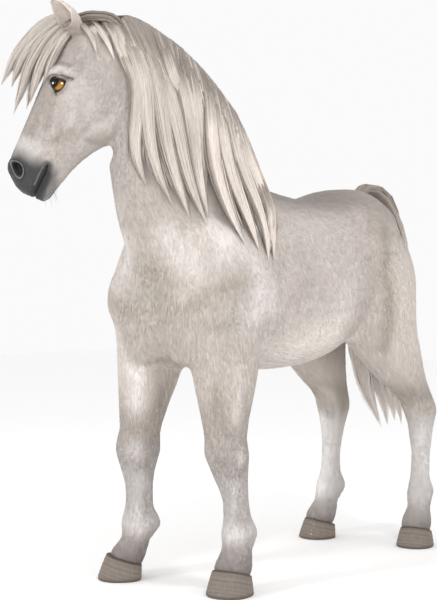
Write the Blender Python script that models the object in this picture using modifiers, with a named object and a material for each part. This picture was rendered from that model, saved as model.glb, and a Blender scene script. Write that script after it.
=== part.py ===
"""A stocky grey pony standing square, its head turned to its right. Metres, +Z up; it faces -Y and its
left side is +X. The tables are in parts of the height at the withers, and the head's in parts of its length."""

import math

import bmesh
import bpy
from mathutils import Matrix, Vector
from mathutils.bvhtree import BVHTree

WITHERS = 1.38  # height at the withers
HEAD = 0.412  # length of the head, poll to lip, in parts of WITHERS
UP = Vector((0, 0, 1))
ACROSS = Vector((1, 0, 0))
LEFT, RIGHT = 1, -1

BODY_VOXEL = 0.009
BODY_BLEND = 10  # rounds of smoothing that blend the muscles into each other
BODY_TRIANGLES = 3830
HAIR_VOXEL = 0.008
CUT = 0.0005  # width of the cuts between the pieces
GAP = 0.0004  # room between a piece and what it sits on

# How the head is carried: the heading turns from straight ahead towards the right, and the nose hangs.
HEAD_YAW = math.radians(50)
HEAD_PITCH = math.radians(68)
POLL = (-0.118, -0.548, 1.322)

# y, top, height of the widest place, bottom, half width, upper and lower roundness (2 is an ellipse)
TRUNK = (
    (-0.485, 0.770, 0.700, 0.640, 0.060, 2.0, 2.0),
    (-0.468, 0.840, 0.700, 0.590, 0.126, 2.0, 2.0),
    (-0.430, 0.910, 0.695, 0.550, 0.176, 2.0, 2.1),
    (-0.360, 0.955, 0.695, 0.522, 0.195, 1.9, 2.2),
    (-0.280, 0.980, 0.700, 0.510, 0.194, 1.7, 2.2),
    (-0.200, 0.990, 0.700, 0.503, 0.186, 1.6, 2.2),
    (-0.120, 0.972, 0.710, 0.500, 0.189, 1.8, 2.2),
    (-0.030, 0.954, 0.715, 0.500, 0.195, 2.0, 2.2),
    (0.060, 0.945, 0.720, 0.508, 0.197, 2.2, 2.2),
    (0.140, 0.957, 0.730, 0.530, 0.188, 2.3, 2.2),
    (0.210, 0.976, 0.745, 0.562, 0.177, 2.4, 2.1),
    (0.280, 0.986, 0.770, 0.600, 0.170, 2.3, 2.0),
    (0.350, 0.980, 0.790, 0.635, 0.160, 2.2, 2.0),
    (0.415, 0.938, 0.790, 0.665, 0.130, 2.1, 2.0),
    (0.465, 0.875, 0.780, 0.700, 0.094, 2.0, 2.0),
    (0.492, 0.815, 0.765, 0.730, 0.045, 2.0, 2.0),
)

# Muscles that stand out from the trunk, on both sides: centre, three radii, and how far the long one tips back
MUSCLES = {
    "shoulder_blade": ((0.104, -0.295, 0.795), (0.062, 0.075, 0.190), 36),
    "point_of_shoulder": ((0.120, -0.408, 0.690), (0.068, 0.070, 0.100), 0),
    "triceps": ((0.112, -0.285, 0.635), (0.066, 0.095, 0.100), 0),
    "pectoral": ((0.062, -0.432, 0.620), (0.072, 0.055, 0.095), 0),
    "point_of_hip": ((0.102, 0.190, 0.875), (0.062, 0.070, 0.065), 0),
    "croup": ((0.070, 0.275, 0.865), (0.092, 0.145, 0.098), 0),
    "thigh": ((0.092, 0.335, 0.740), (0.082, 0.130, 0.150), 0),
    "stifle": ((0.108, 0.235, 0.625), (0.060, 0.066, 0.095), 0),
    "buttock": ((0.066, 0.422, 0.750), (0.066, 0.062, 0.120), 0),
}

# x, y, z of the neck's middle, half width, height of the crest and depth of the throat from it
NECK = (
    (0.000, -0.225, 0.730, 0.135, 0.130, 0.215),
    (0.000, -0.295, 0.830, 0.140, 0.142, 0.217),
    (-0.006, -0.357, 0.928, 0.124, 0.154, 0.192),
    (-0.022, -0.410, 1.024, 0.101, 0.162, 0.149),
    (-0.046, -0.456, 1.112, 0.084, 0.148, 0.108),
    (-0.074, -0.494, 1.182, 0.074, 0.127, 0.082),
    (-0.102, -0.524, 1.242, 0.068, 0.100, 0.076),
    (-0.124, -0.546, 1.280, 0.058, 0.070, 0.072),
)

# place along the head, face line, jaw line, height of the widest place, half width, upper and lower roundness
SKULL = (
    (-0.020, 0.000, -0.090, -0.045, 0.060, 2.0, 2.0),
    (0.020, 0.045, -0.150, -0.030, 0.105, 2.1, 2.0),
    (0.080, 0.085, -0.220, -0.005, 0.138, 2.2, 1.9),
    (0.160, 0.115, -0.290, 0.015, 0.156, 2.3, 1.8),
    (0.250, 0.134, -0.350, 0.030, 0.166, 2.4, 1.7),
    (0.340, 0.145, -0.365, 0.045, 0.172, 2.5, 1.7),
    (0.420, 0.151, -0.370, 0.055, 0.160, 2.5, 1.7),
    (0.500, 0.155, -0.360, 0.050, 0.138, 2.5, 1.7),
    (0.600, 0.159, -0.306, 0.040, 0.112, 2.4, 1.8),
    (0.700, 0.163, -0.246, 0.030, 0.094, 2.3, 1.9),
    (0.790, 0.166, -0.198, 0.020, 0.088, 2.2, 2.0),
    (0.870, 0.166, -0.170, 0.030, 0.098, 2.2, 2.1),
    (0.940, 0.148, -0.148, 0.020, 0.095, 2.2, 2.1),
    (1.000, 0.098, -0.120, -0.005, 0.076, 2.1, 2.0),
    (1.035, 0.035, -0.080, -0.020, 0.045, 2.0, 2.0),
)

# Lumps that stand out from the skull: place along, height and offset to the side, then the same three radii
SKULL_LUMPS = {
    "cheek": ((0.350, -0.150, 0.080), (0.165, 0.175, 0.055)),
    "orbit": ((0.350, 0.058, 0.130), (0.085, 0.062, 0.050)),
    "facial_crest": ((0.490, 0.010, 0.110), (0.120, 0.030, 0.028)),
    "nostril_wing": ((0.905, 0.105, 0.062), (0.070, 0.062, 0.040)),
    "chin": ((0.985, -0.080, 0.020), (0.055, 0.055, 0.050)),
}
EYE = (0.394, 0.042, 0.143)
EYE_RADIUS = 0.047
NOSTRIL = (0.925, 0.092, 0.112)
NOSTRIL_RADII = (0.020, 0.036, 0.034)
EAR = (0.075, 0.070, 0.088)
EAR_LENGTH = 0.240
EAR_WIDTH = 0.070
EAR_TIP_BEND = 0.030
# along the ear, width and depth, in parts of its half width
EAR_SHELL = (
    (-0.12, 0.60, 0.55),
    (0.05, 0.78, 0.70),
    (0.22, 0.95, 0.78),
    (0.42, 1.00, 0.74),
    (0.62, 0.84, 0.58),
    (0.80, 0.54, 0.38),
    (0.93, 0.25, 0.18),
    (1.00, 0.06, 0.05),
)
EAR_HOLLOW = (
    (0.16, 0.30, 0.30),
    (0.25, 0.62, 0.60),
    (0.42, 0.80, 0.66),
    (0.62, 0.68, 0.52),
    (0.80, 0.40, 0.32),
    (0.90, 0.12, 0.12),
)

# y, z of the leg's middle, half length fore and aft, half width, and how far the leg has splayed to its foot.
# Below the fetlock it follows the way the toe points.
FORE_LEG = (
    (-0.355, 0.800, 0.020, 0.016, 0.00),
    (-0.355, 0.745, 0.080, 0.050, 0.00),
    (-0.355, 0.680, 0.108, 0.070, 0.00),
    (-0.350, 0.610, 0.106, 0.076, 0.05),
    (-0.348, 0.550, 0.096, 0.076, 0.15),
    (-0.352, 0.490, 0.082, 0.069, 0.28),
    (-0.360, 0.430, 0.067, 0.058, 0.42),
    (-0.366, 0.365, 0.051, 0.049, 0.56),
    (-0.368, 0.318, 0.053, 0.053, 0.68),
    (-0.361, 0.278, 0.045, 0.042, 0.78),
    (-0.350, 0.220, 0.035, 0.031, 0.92),
    (-0.345, 0.172, 0.037, 0.033, 1.00),
    (-0.338, 0.136, 0.050, 0.041, 1.00),
    (-0.351, 0.100, 0.037, 0.036, 1.00),
    (-0.370, 0.066, 0.046, 0.045, 1.00),
    (-0.378, 0.038, 0.042, 0.040, 1.00),
)
HIND_LEG = (
    (0.345, 0.880, 0.030, 0.020, 0.00),
    (0.335, 0.830, 0.100, 0.055, 0.00),
    (0.318, 0.755, 0.138, 0.082, 0.05),
    (0.296, 0.670, 0.150, 0.086, 0.20),
    (0.294, 0.600, 0.146, 0.078, 0.35),
    (0.324, 0.530, 0.126, 0.066, 0.50),
    (0.374, 0.460, 0.092, 0.051, 0.65),
    (0.420, 0.410, 0.062, 0.043, 0.80),
    (0.437, 0.372, 0.058, 0.042, 0.90),
    (0.438, 0.325, 0.042, 0.034, 0.95),
    (0.432, 0.250, 0.030, 0.026, 1.00),
    (0.428, 0.185, 0.032, 0.028, 1.00),
    (0.430, 0.142, 0.047, 0.037, 1.00),
    (0.412, 0.104, 0.035, 0.032, 1.00),
    (0.394, 0.068, 0.044, 0.042, 1.00),
    (0.386, 0.040, 0.040, 0.038, 1.00),
)
FETLOCK_ROW = 12
# where each leg starts and each foot stands to the side, how far the foot is set back of the table, and how far
# its toe turns to the right
FEET = {
    ("fore", LEFT): (0.104, 0.147, 0.002, -12),
    ("fore", RIGHT): (0.114, 0.126, -0.044, 38),
    ("hind", LEFT): (0.100, 0.165, 0.012, -14),
    ("hind", RIGHT): (0.102, 0.094, -0.052, 14),
}
# height, half length, half width, and how far the slice lies back of the sole's middle
HOOF = (
    (0.000, 0.0560, 0.0530, 0.000),
    (0.004, 0.0570, 0.0540, 0.000),
    (0.022, 0.0530, 0.0510, 0.004),
    (0.044, 0.0475, 0.0465, 0.009),
    (0.052, 0.0450, 0.0440, 0.011),
)
HOOF_SLOPE = 0.30  # how much lower the hairline is at the heel than at the toe, for each unit back
HOOF_SCALE = {"fore": 1.0, "hind": 0.93}
SOLE_AHEAD = 0.050  # of the sole's middle, in front of the fetlock

MANE_TRIANGLES = 700
MANE_RISE = 0.030  # how far the mane stands up from the crest before it falls to the left
MANE_WIDTH = 0.030
# place on the crest, length, how far it sweeps back as it falls, thickness over the neck
MANE_LOCKS = (
    (-0.05, 0.180, -0.04, 0.012),
    (0.02, 0.340, -0.04, 0.018),
    (0.09, 0.430, -0.04, 0.022),
    (0.16, 0.460, 0.00, 0.024),
    (0.23, 0.430, 0.03, 0.024),
    (0.30, 0.440, 0.04, 0.024),
    (0.37, 0.450, 0.05, 0.024),
    (0.44, 0.440, 0.06, 0.024),
    (0.51, 0.440, 0.08, 0.024),
    (0.58, 0.440, 0.11, 0.024),
    (0.65, 0.420, 0.14, 0.024),
    (0.72, 0.400, 0.16, 0.022),
    (0.78, 0.340, 0.14, 0.018),
)

# Locks of the forelock, as places in the head's frame from the poll to the tip
FORELOCK_TRIANGLES = 250
FORELOCK = (
    ((0.00, 0.04, 0.00), (0.04, 0.15, 0.01), (0.12, 0.27, 0.03), (0.25, 0.330, 0.04), (0.38, 0.345, 0.04), (0.51, 0.352, 0.03)),
    ((0.00, 0.04, 0.01), (0.07, 0.15, 0.00), (0.20, 0.27, 0.00), (0.36, 0.300, 0.00), (0.50, 0.285, 0.00), (0.625, 0.245, 0.00)),
    ((0.01, 0.04, 0.02), (0.09, 0.14, 0.05), (0.24, 0.21, 0.09), (0.40, 0.220, 0.10), (0.52, 0.193, 0.10)),
    ((0.01, 0.04, -0.02), (0.09, 0.14, -0.05), (0.24, 0.21, -0.09), (0.40, 0.220, -0.10), (0.54, 0.195, -0.10)),
    ((0.02, 0.04, 0.02), (0.08, 0.12, 0.06), (0.20, 0.155, 0.10), (0.33, 0.160, 0.12), (0.46, 0.155, 0.12)),
    ((-0.12, -0.11, 0.00), (-0.05, -0.03, 0.00), (0.00, 0.05, 0.00), (0.06, 0.12, 0.00), (0.16, 0.17, 0.00), (0.30, 0.20, 0.00)),
)

# Locks of the tail, from the dock to the tip
TAIL_TRIANGLES = 340
TAIL = (
    ((0.000, 0.350, 0.935), (0.000, 0.402, 0.975), (0.000, 0.468, 0.964), (0.000, 0.518, 0.888), (0.000, 0.536, 0.770), (0.000, 0.525, 0.640), (0.000, 0.510, 0.520), (0.008, 0.500, 0.350)),
    ((0.000, 0.420, 0.945), (-0.010, 0.475, 0.910), (-0.035, 0.512, 0.810), (-0.055, 0.512, 0.680), (-0.060, 0.500, 0.560), (-0.042, 0.490, 0.450), (-0.008, 0.490, 0.318)),
    ((0.000, 0.420, 0.945), (0.010, 0.475, 0.910), (0.032, 0.514, 0.810), (0.048, 0.514, 0.680), (0.052, 0.500, 0.560), (0.046, 0.490, 0.450), (0.036, 0.490, 0.325)),
)

# The thin cuts that part the flesh: a point on the cut, two directions along it, and how far it reaches each way
BODY_CUTS = (
    ((0, -0.345, 0.888), (1, 0, 0), (0, 0.736, 0.677), 0.24, 0.235),
    ((0.13, -0.352, 0.520), (0.894, 0, 0.447), (0, 1, 0), 0.125, 0.118),
    ((-0.13, -0.352, 0.520), (0.894, 0, -0.447), (0, 1, 0), 0.125, 0.118),
    ((0.125, 0.330, 0.570), (1, 0, 0), (0, 0.966, 0.259), 0.120, 0.170),
    ((-0.125, 0.330, 0.570), (1, 0, 0), (0, 0.966, 0.259), 0.120, 0.170),
)
HEAD_CUT = ((0.330, -0.385), (1.0, 0.04), 0.56, 0.42)

# A point in each piece of flesh, by which the piece gets its name
FLESH = {
    "trunk": (0.000, 0.000, 0.710),
    "neck": (-0.040, -0.420, 1.000),
    "head": (-0.190, -0.630, 1.150),
    "foreleg_left": (0.135, -0.357, 0.290),
    "foreleg_right": (-0.124, -0.387, 0.290),
    "hindleg_left": (0.150, 0.400, 0.340),
    "hindleg_right": (-0.102, 0.350, 0.330),
}
COAT = (0.66, 0.61, 0.555)
COLOURS = {
    "eye": ((0.10, 0.045, 0.012), 0.12),
    "hoof": ((0.21, 0.17, 0.135), 0.55),
    "mane": ((0.72, 0.66, 0.58), 0.60),
    "forelock": ((0.72, 0.66, 0.58), 0.60),
    "tail": ((0.62, 0.56, 0.49), 0.60),
}


def spline(table, steps):
    """The rows of a table with a smooth curve through them, steps rows for each span."""
    rows = [table[0], *table, table[-1]]
    made = []
    for a, b, c, d in zip(rows, rows[1:], rows[2:], rows[3:]):
        for k in range(steps):
            t = k / steps
            made.append(
                tuple(
                    0.5 * (2 * q + (r - p) * t + (2 * p - 5 * q + 4 * r - s) * t**2 + (3 * q - p - 3 * r + s) * t**3)
                    for p, q, r, s in zip(a, b, c, d)
                )
            )
    return made + [tuple(map(float, table[-1]))]


def new_object(name, bm):
    mesh = bpy.data.meshes.new(name)
    bm.to_mesh(mesh)
    bm.free()
    obj = bpy.data.objects.new(name, mesh)
    bpy.context.scene.collection.objects.link(obj)
    return obj


def ring(centre, across, up, half_width, rise, drop, top_power=2.0, low_power=2.0, count=32):
    """A closed outline round centre: half_width to each side, rise above and drop below."""
    made = []
    for k in range(count):
        angle = 2 * math.pi * k / count
        s, c = math.sin(angle), math.cos(angle)
        power = top_power if c > 0 else low_power
        side = math.copysign(abs(s) ** (2 / power), s) * half_width
        height = math.copysign(abs(c) ** (2 / power), c) * (rise if c > 0 else drop)
        made.append(centre + across * side + up * height)
    return made


def loft(name, rings):
    """A closed skin through a row of rings, each with the same number of points."""
    bm = bmesh.new()
    rows = [[bm.verts.new(p) for p in r] for r in rings]
    for near, far in zip(rows, rows[1:]):
        for k in range(len(near)):
            n = (k + 1) % len(near)
            bm.faces.new((near[k], near[n], far[n], far[k]))
    bm.faces.new(rows[0][::-1])
    bm.faces.new(rows[-1])
    bmesh.ops.recalc_face_normals(bm, faces=bm.faces[:])
    return new_object(name, bm)


def ball(name, place, radii, axes=(Vector((1, 0, 0)), Vector((0, 1, 0)), UP), segments=24):
    """An ellipsoid with its radii along the given axes."""
    bm = bmesh.new()
    bmesh.ops.create_uvsphere(bm, u_segments=segments, v_segments=segments // 2, radius=1)
    turn = Matrix([axis * radius for axis, radius in zip(axes, radii)]).transposed()
    for v in bm.verts:
        v.co = turn @ v.co + Vector(place)
    bmesh.ops.recalc_face_normals(bm, faces=bm.faces[:])
    return new_object(name, bm)


def joined(name, objects):
    """The objects as one, their meshes overlapping."""
    for o in bpy.context.selected_objects:
        o.select_set(False)
    for o in objects:
        o.select_set(True)
    bpy.context.view_layer.objects.active = objects[0]
    bpy.ops.object.join()
    objects[0].name = name
    return objects[0]


def baked(obj):
    """The object with its modifiers applied."""
    graph = bpy.context.evaluated_depsgraph_get()
    mesh = bpy.data.meshes.new_from_object(obj.evaluated_get(graph))
    obj.modifiers.clear()
    obj.data = mesh
    return obj


def fused(obj, voxel, rounds, triangles):
    """Overlapping shapes made one smooth surface of about so many triangles."""
    remesh = obj.modifiers.new("fuse", "REMESH")
    remesh.mode = "VOXEL"
    remesh.voxel_size = voxel
    smooth = obj.modifiers.new("blend", "SMOOTH")
    smooth.factor = 0.5
    smooth.iterations = rounds
    baked(obj)
    faces = sum(len(p.vertices) - 2 for p in obj.data.polygons)
    if faces > triangles:
        thin = obj.modifiers.new("thin", "DECIMATE")
        thin.ratio = triangles / faces
        thin.use_collapse_triangulate = True
        baked(obj)
    return obj


def grown(obj, name, by):
    """A copy of the object with its surface moved out, as a cutter."""
    copy = bpy.data.objects.new(name, obj.data.copy())
    bpy.context.scene.collection.objects.link(copy)
    bm = bmesh.new()
    bm.from_mesh(copy.data)
    bm.normal_update()
    for v, normal in [(v, v.normal.copy()) for v in bm.verts]:
        v.co += normal * by
    bm.to_mesh(copy.data)
    bm.free()
    return copy


def carved(obj, cutter, operation="DIFFERENCE"):
    """The object with the cutter taken away. The cutter is used up."""
    cut = obj.modifiers.new("carve", "BOOLEAN")
    cut.operation = operation
    cut.object = cutter
    baked(obj)
    bpy.data.objects.remove(cutter)
    return obj


# ---- the head's own frame: along to the nose, up to the forehead, out to the left


def head_axes():
    heading = Vector((-math.sin(HEAD_YAW), -math.cos(HEAD_YAW), 0))
    along = heading * math.cos(HEAD_PITCH) - UP * math.sin(HEAD_PITCH)
    upward = heading * math.sin(HEAD_PITCH) + UP * math.cos(HEAD_PITCH)
    return along, upward, UP.cross(heading)


def on_head(along, upward, out=0.0):
    """A point given in head lengths from the poll."""
    a, u, o = head_axes()
    return (Vector(POLL) + (a * along + u * upward + o * out) * HEAD) * WITHERS


# ---- the flesh


def trunk():
    rings = [
        ring(Vector((0, y, wide)), ACROSS, UP, half, top - wide, wide - low, n_up, n_low)
        for y, top, wide, low, half, n_up, n_low in spline(TRUNK, 4)
    ]
    pieces = [loft("trunk", [[p * WITHERS for p in r] for r in rings])]
    for name, (place, radii, tip) in MUSCLES.items():
        turn = Matrix.Rotation(-math.radians(tip), 3, "X")
        axes = [turn @ axis for axis in (ACROSS, Vector((0, 1, 0)), UP)]
        for side in (LEFT, RIGHT):
            centre = Vector((place[0] * side, place[1], place[2])) * WITHERS
            pieces.append(ball(name, centre, [r * WITHERS for r in radii], axes))
    return pieces


def neck_frames():
    """Along the neck, shoulders to poll: its middle, the directions to its left and to its crest, and its sizes."""
    rows = spline(NECK, 4)
    middles = [Vector(r[:3]) for r in rows]
    frames = []
    for k, row in enumerate(rows):
        along = (middles[min(k + 1, len(rows) - 1)] - middles[max(k - 1, 0)]).normalized()
        out = UP.cross(along).normalized()
        frames.append((middles[k], out, along.cross(out), *row[3:]))
    return frames


def neck():
    return loft("neck", [[p * WITHERS for p in ring(*frame, 1.9, 2.1)] for frame in neck_frames()])


def head():
    along, upward, out = head_axes()
    rings = []
    for t, face, jaw, wide, half, n_up, n_low in spline(SKULL, 4):
        centre = on_head(t, wide)
        scale = HEAD * WITHERS
        rings.append(ring(centre, out, upward, half * scale, (face - wide) * scale, (wide - jaw) * scale, n_up, n_low))
    pieces = [loft("head", rings)]
    for name, (place, radii) in SKULL_LUMPS.items():
        for side in (LEFT, RIGHT):
            centre = on_head(place[0], place[1], place[2] * side)
            scaled = [r * HEAD * WITHERS for r in radii]
            pieces.append(ball(name, centre, scaled, (along, upward, out)))
    return pieces


def foot_frame(kind, side):
    """The middle of the fetlock, and the way the toe points."""
    _, foot_x, back, turn = FEET[kind, side]
    row = (FORE_LEG if kind == "fore" else HIND_LEG)[FETLOCK_ROW]
    turn = math.radians(turn)
    return Vector((side * foot_x, row[0] + back, row[1])), Vector((-math.sin(turn), -math.cos(turn), 0))


def leg(kind, side):
    top_x, foot_x, back, _ = FEET[kind, side]
    fetlock, toe = foot_frame(kind, side)
    table = FORE_LEG if kind == "fore" else HIND_LEG
    start = table[FETLOCK_ROW]
    rings = []
    for y, z, long, wide, splay in spline(table, 4):
        middle = Vector((side * (top_x + (foot_x - top_x) * splay), y + back * splay, z))
        forward = Vector((0, -1, 0))
        if z < start[1]:
            middle = fetlock + toe * (start[0] - y) + UP * (z - start[1])
        if z < start[1] + 0.12:
            forward = forward.lerp(toe, min((start[1] + 0.12 - z) / 0.12, 1)).normalized()
        rings.append(ring(middle, forward.cross(UP) * -1, forward, wide, long, long, 2.2, 2.2))
    return loft("leg", [[p * WITHERS for p in r] for r in rings])


def flesh():
    pieces = [*trunk(), neck(), *head()]
    for kind, side in FEET:
        pieces.append(leg(kind, side))
    return fused(joined("flesh", pieces), BODY_VOXEL, BODY_BLEND, BODY_TRIANGLES)


def hoof(kind, side):
    fetlock, toe = foot_frame(kind, side)
    size = HOOF_SCALE[kind]
    middle = Vector((fetlock.x, fetlock.y, 0)) + toe * SOLE_AHEAD
    rings = []
    top = HOOF[-1][0]
    for z, long, wide, back in HOOF:
        centre = middle - toe * back * size
        reach = long * size
        outline = ring(centre, toe.cross(UP) * -1, toe, wide * size, reach, reach * 0.86, 2.2, 2.6, 20)
        tilted = []
        for p in outline:
            ahead = (p - middle).dot(toe)
            tilted.append(p + UP * size * (z + (ahead / size) * HOOF_SLOPE * (z / top)))
        rings.append([p * WITHERS for p in tilted])
    return loft("hoof", rings)


def eye(side, room=0.0):
    centre = on_head(EYE[0], EYE[1], EYE[2] * side)
    return ball("eye", centre, [EYE_RADIUS * HEAD * WITHERS + room] * 3, segments=16)


def nostril(side):
    """The hollow inside a nostril, as a cutter."""
    along, upward, out = head_axes()
    slant = (along * 0.5 + upward).normalized()
    scaled = [r * HEAD * WITHERS for r in NOSTRIL_RADII]
    centre = on_head(NOSTRIL[0], NOSTRIL[1], NOSTRIL[2] * side)
    return ball("nostril", centre, scaled, (slant.cross(out), slant, out), segments=10)


def ear(side):
    """A cupped ear standing on the poll, its opening forward and out."""
    along, upward, out = head_axes()
    axis = (along * -0.52 + upward * 0.76 + out * side * 0.16).normalized()
    opening = (along * 0.72 + out * side * 0.62).normalized()
    opening = (opening - axis * opening.dot(axis)).normalized()
    across = axis.cross(opening)
    size = HEAD * WITHERS
    base = on_head(EAR[0], EAR[1], EAR[2] * side)

    def pinna(rows, shift):
        rings = []
        for t, wide, deep in spline(rows, 1):
            centre = base + (axis * t * EAR_LENGTH + opening * (shift * wide + EAR_TIP_BEND * t * t)) * size
            rings.append(ring(centre, across, opening, wide * EAR_WIDTH * size, *[deep * EAR_WIDTH * size] * 2, count=12))
        return rings

    shell = loft("ear", pinna(EAR_SHELL, 0))
    return carved(shell, loft("hollow", pinna(EAR_HOLLOW, 0.030)))


def surface_of(obj):
    bm = bmesh.new()
    bm.from_mesh(obj.data)
    tree = BVHTree.FromBMesh(bm)
    bm.free()
    return tree


def outside(point, tree, depth):
    """The point, moved out of the flesh until it is depth away from its surface."""
    near, normal, _, _ = tree.find_nearest(point)
    lift = (point - near).dot(normal)
    return point + normal * max(depth - lift, 0)


def lock(name, path, width, thickness, across, count=12):
    """A tapering, flattened lock of hair along a path. width and thickness are (root, belly, tip)."""
    rings = []
    total = len(path) - 1
    for k, point in enumerate(path):
        t = k / total
        along = (path[min(k + 1, total)] - path[max(k - 1, 0)]).normalized()
        flat = (across - along * across.dot(along)).normalized()
        sizes = []
        for root, belly, tip in (width, thickness):
            sizes.append(root + (belly - root) * min(t / 0.4, 1) if t < 0.5 else tip + (belly - tip) * (1 - ((t - 0.5) / 0.5) ** 2))
        rings.append(ring(point, flat, along.cross(flat), sizes[0], sizes[1], sizes[1], count=count))
    return loft(name, rings)


def crest_point(s):
    """Where the mane grows: 0 at the poll, 1 at the withers. Also the directions out to the left and back."""
    frames = neck_frames()
    place = (1 - s) * (len(frames) - 6) + 2
    k = min(int(place), len(frames) - 2)
    mix = place - k
    points = [f[0] + f[2] * f[4] for f in frames]
    back = (points[k] - points[k + 1]).normalized()
    return (points[k].lerp(points[k + 1], mix)) * WITHERS, frames[k][1], back


def mane(body):
    tree = surface_of(body)
    locks = []
    for s, length, sweep, thick in MANE_LOCKS:
        root, left, back = crest_point(s)
        rise = MANE_RISE * min(1, (0.95 - s) / 0.35)
        path = [root - UP * 0.03, root + UP * rise]
        steps = 14
        stride = length * WITHERS / steps
        for k in range(steps):
            fall = min(k / 4, 1)
            heading = left * (1 - 0.85 * fall) - UP * (0.15 + fall) + back * sweep
            path.append(outside(path[-1] + heading.normalized() * stride, tree, thick * WITHERS))
        sizes = (MANE_WIDTH * WITHERS, MANE_WIDTH * WITHERS, 0.006)
        locks.append(lock("lock", path, sizes, (0.020, thick * WITHERS, 0.004), back))
    ridge = [crest_point(0.88 * k / 12 - 0.08)[0] + UP * MANE_RISE * 0.4 for k in range(13)]
    locks.append(lock("ridge", ridge, (0.022, 0.030, 0.012), (0.024, 0.032, 0.012), crest_point(0.5)[1]))
    return fused(joined("mane", locks), HAIR_VOXEL, 2, MANE_TRIANGLES)


def forelock(body):
    tree = surface_of(body)
    out = head_axes()[2]
    locks = []
    for row in FORELOCK:
        path = [on_head(*p) for p in spline(row, 4)]
        path = [outside(p, tree, 0.012) if k > 4 else p for k, p in enumerate(path)]
        locks.append(lock("lock", path, (0.024, 0.034, 0.006), (0.018, 0.017, 0.004), out))
    return fused(joined("forelock", locks), HAIR_VOXEL, 2, FORELOCK_TRIANGLES)


def tail():
    locks = []
    for row in TAIL:
        path = [Vector(p) * WITHERS for p in spline(row, 4)]
        locks.append(lock("lock", path, (0.035, 0.062, 0.008), (0.030, 0.040, 0.006), ACROSS))
    return fused(joined("tail", locks), HAIR_VOXEL, 2, TAIL_TRIANGLES)


# ---- the parting of the body into its pieces


def slab(point, one, two, reach_one, reach_two):
    """A thin plate about a point, lying along two directions, for a cut."""
    one, two = Vector(one).normalized(), Vector(two).normalized()
    bm = bmesh.new()
    bmesh.ops.create_cube(bm, size=2)
    for v in bm.verts:
        a, b, c = v.co
        v.co = point + one * a * reach_one + two * b * reach_two + one.cross(two) * c * CUT / 2
    return new_object("slab", bm)


def parted(body):
    """The body cut through and its pieces named."""
    for point, one, two, reach_one, reach_two in BODY_CUTS:
        plate = slab(Vector(point) * WITHERS, one, two, reach_one * WITHERS, reach_two * WITHERS)
        carved(body, plate)
    along, upward, out = head_axes()
    (t, u), (dt, du), reach, side = HEAD_CUT
    scale = HEAD * WITHERS
    carved(body, slab(on_head(t, u), along * dt + upward * du, out, reach * scale, side * scale))
    return pieces_of(body)


def pieces_of(obj):
    """The separate bodies of a mesh as objects, largest first. Crumbs are dropped, and the mesh is used up."""
    bm = bmesh.new()
    bm.from_mesh(obj.data)
    bpy.data.objects.remove(obj)
    groups = []
    left = set(bm.verts)
    while left:
        start = left.pop()
        group = {start}
        edge = [start]
        while edge:
            for link in edge.pop().link_edges:
                for v in link.verts:
                    if v not in group:
                        group.add(v)
                        edge.append(v)
        left -= group
        groups.append(group)
    groups.sort(key=len, reverse=True)
    made = []
    for group in groups:
        if len(group) < 0.05 * len(groups[0]):
            continue
        part = bmesh.new()
        copies = {v: part.verts.new(v.co) for v in sorted(group, key=lambda v: v.index)}
        for face in bm.faces:
            if face.verts[0] in group:
                part.faces.new([copies[v] for v in face.verts])
        made.append(new_object("piece", part))
    bm.free()
    return made


def largest(obj):
    first, *rest = pieces_of(obj)
    for crumb in rest:
        bpy.data.objects.remove(crumb)
    return first


def middle_of(obj):
    return sum((v.co for v in obj.data.vertices), Vector()) / len(obj.data.vertices)


def named(obj, name):
    """The object as a finished piece, with its name and its own material."""
    obj.name = name
    obj.data.name = name
    colour, roughness = COLOURS.get(name.split("_")[0], (COAT, 0.75))
    material = bpy.data.materials.new(name)
    material.use_nodes = True
    shader = material.node_tree.nodes["Principled BSDF"]
    shader.inputs["Base Color"].default_value = (*colour, 1)
    shader.inputs["Roughness"].default_value = roughness
    shader.inputs["Metallic"].default_value = 0
    obj.data.materials.clear()
    obj.data.materials.append(material)
    for face in obj.data.polygons:
        face.use_smooth = False
    return obj


def main():
    for obj in list(bpy.data.objects):
        bpy.data.objects.remove(obj)
    body = flesh()
    skin = grown(body, "skin", GAP)
    parts = []

    ears = {side: carved(ear(side), grown(skin, "cutter", 0)) for side in (LEFT, RIGHT)}
    ears = {side: largest(one) for side, one in ears.items()}
    fringe = carved(forelock(body), grown(skin, "cutter", 0))
    hair = carved(mane(body), grown(skin, "cutter", 0))
    for side in (LEFT, RIGHT):
        carved(fringe, grown(ears[side], "cutter", GAP))
        carved(hair, grown(ears[side], "cutter", GAP))
    fringe = largest(fringe)
    hair = largest(carved(hair, grown(fringe, "cutter", GAP)))
    plume = largest(carved(tail(), skin))
    parts += [named(hair, "mane"), named(fringe, "forelock"), named(plume, "tail")]

    for side, word in ((LEFT, "left"), (RIGHT, "right")):
        parts.append(named(ears[side], "ear_" + word))
        carved(body, eye(side, GAP))
        parts.append(named(eye(side), "eye_" + word))
        carved(body, nostril(side))
        for kind in ("fore", "hind"):
            foot = hoof(kind, side)
            carved(body, grown(foot, "cutter", GAP))
            parts.append(named(foot, f"hoof_{kind}_{word}"))
    for piece in parted(body):
        centre = middle_of(piece) / WITHERS
        name = min(FLESH, key=lambda n: (Vector(FLESH[n]) - centre).length)
        parts.append(named(piece, name))

    home = bpy.data.collections.new("horse")
    bpy.context.scene.collection.children.link(home)
    corners = [v.co for part in parts for v in part.data.vertices]
    low = Vector(map(min, zip(*corners)))
    high = Vector(map(max, zip(*corners)))
    shift = Vector(((low.x + high.x) / 2, (low.y + high.y) / 2, 0))
    for part in parts:
        part.data.transform(Matrix.Translation(-shift))
        for owner in part.users_collection:
            owner.objects.unlink(part)
        home.objects.link(part)
    print("size", [round(c, 4) for c in high - low], "shift", [round(c, 4) for c in shift])


main()
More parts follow.
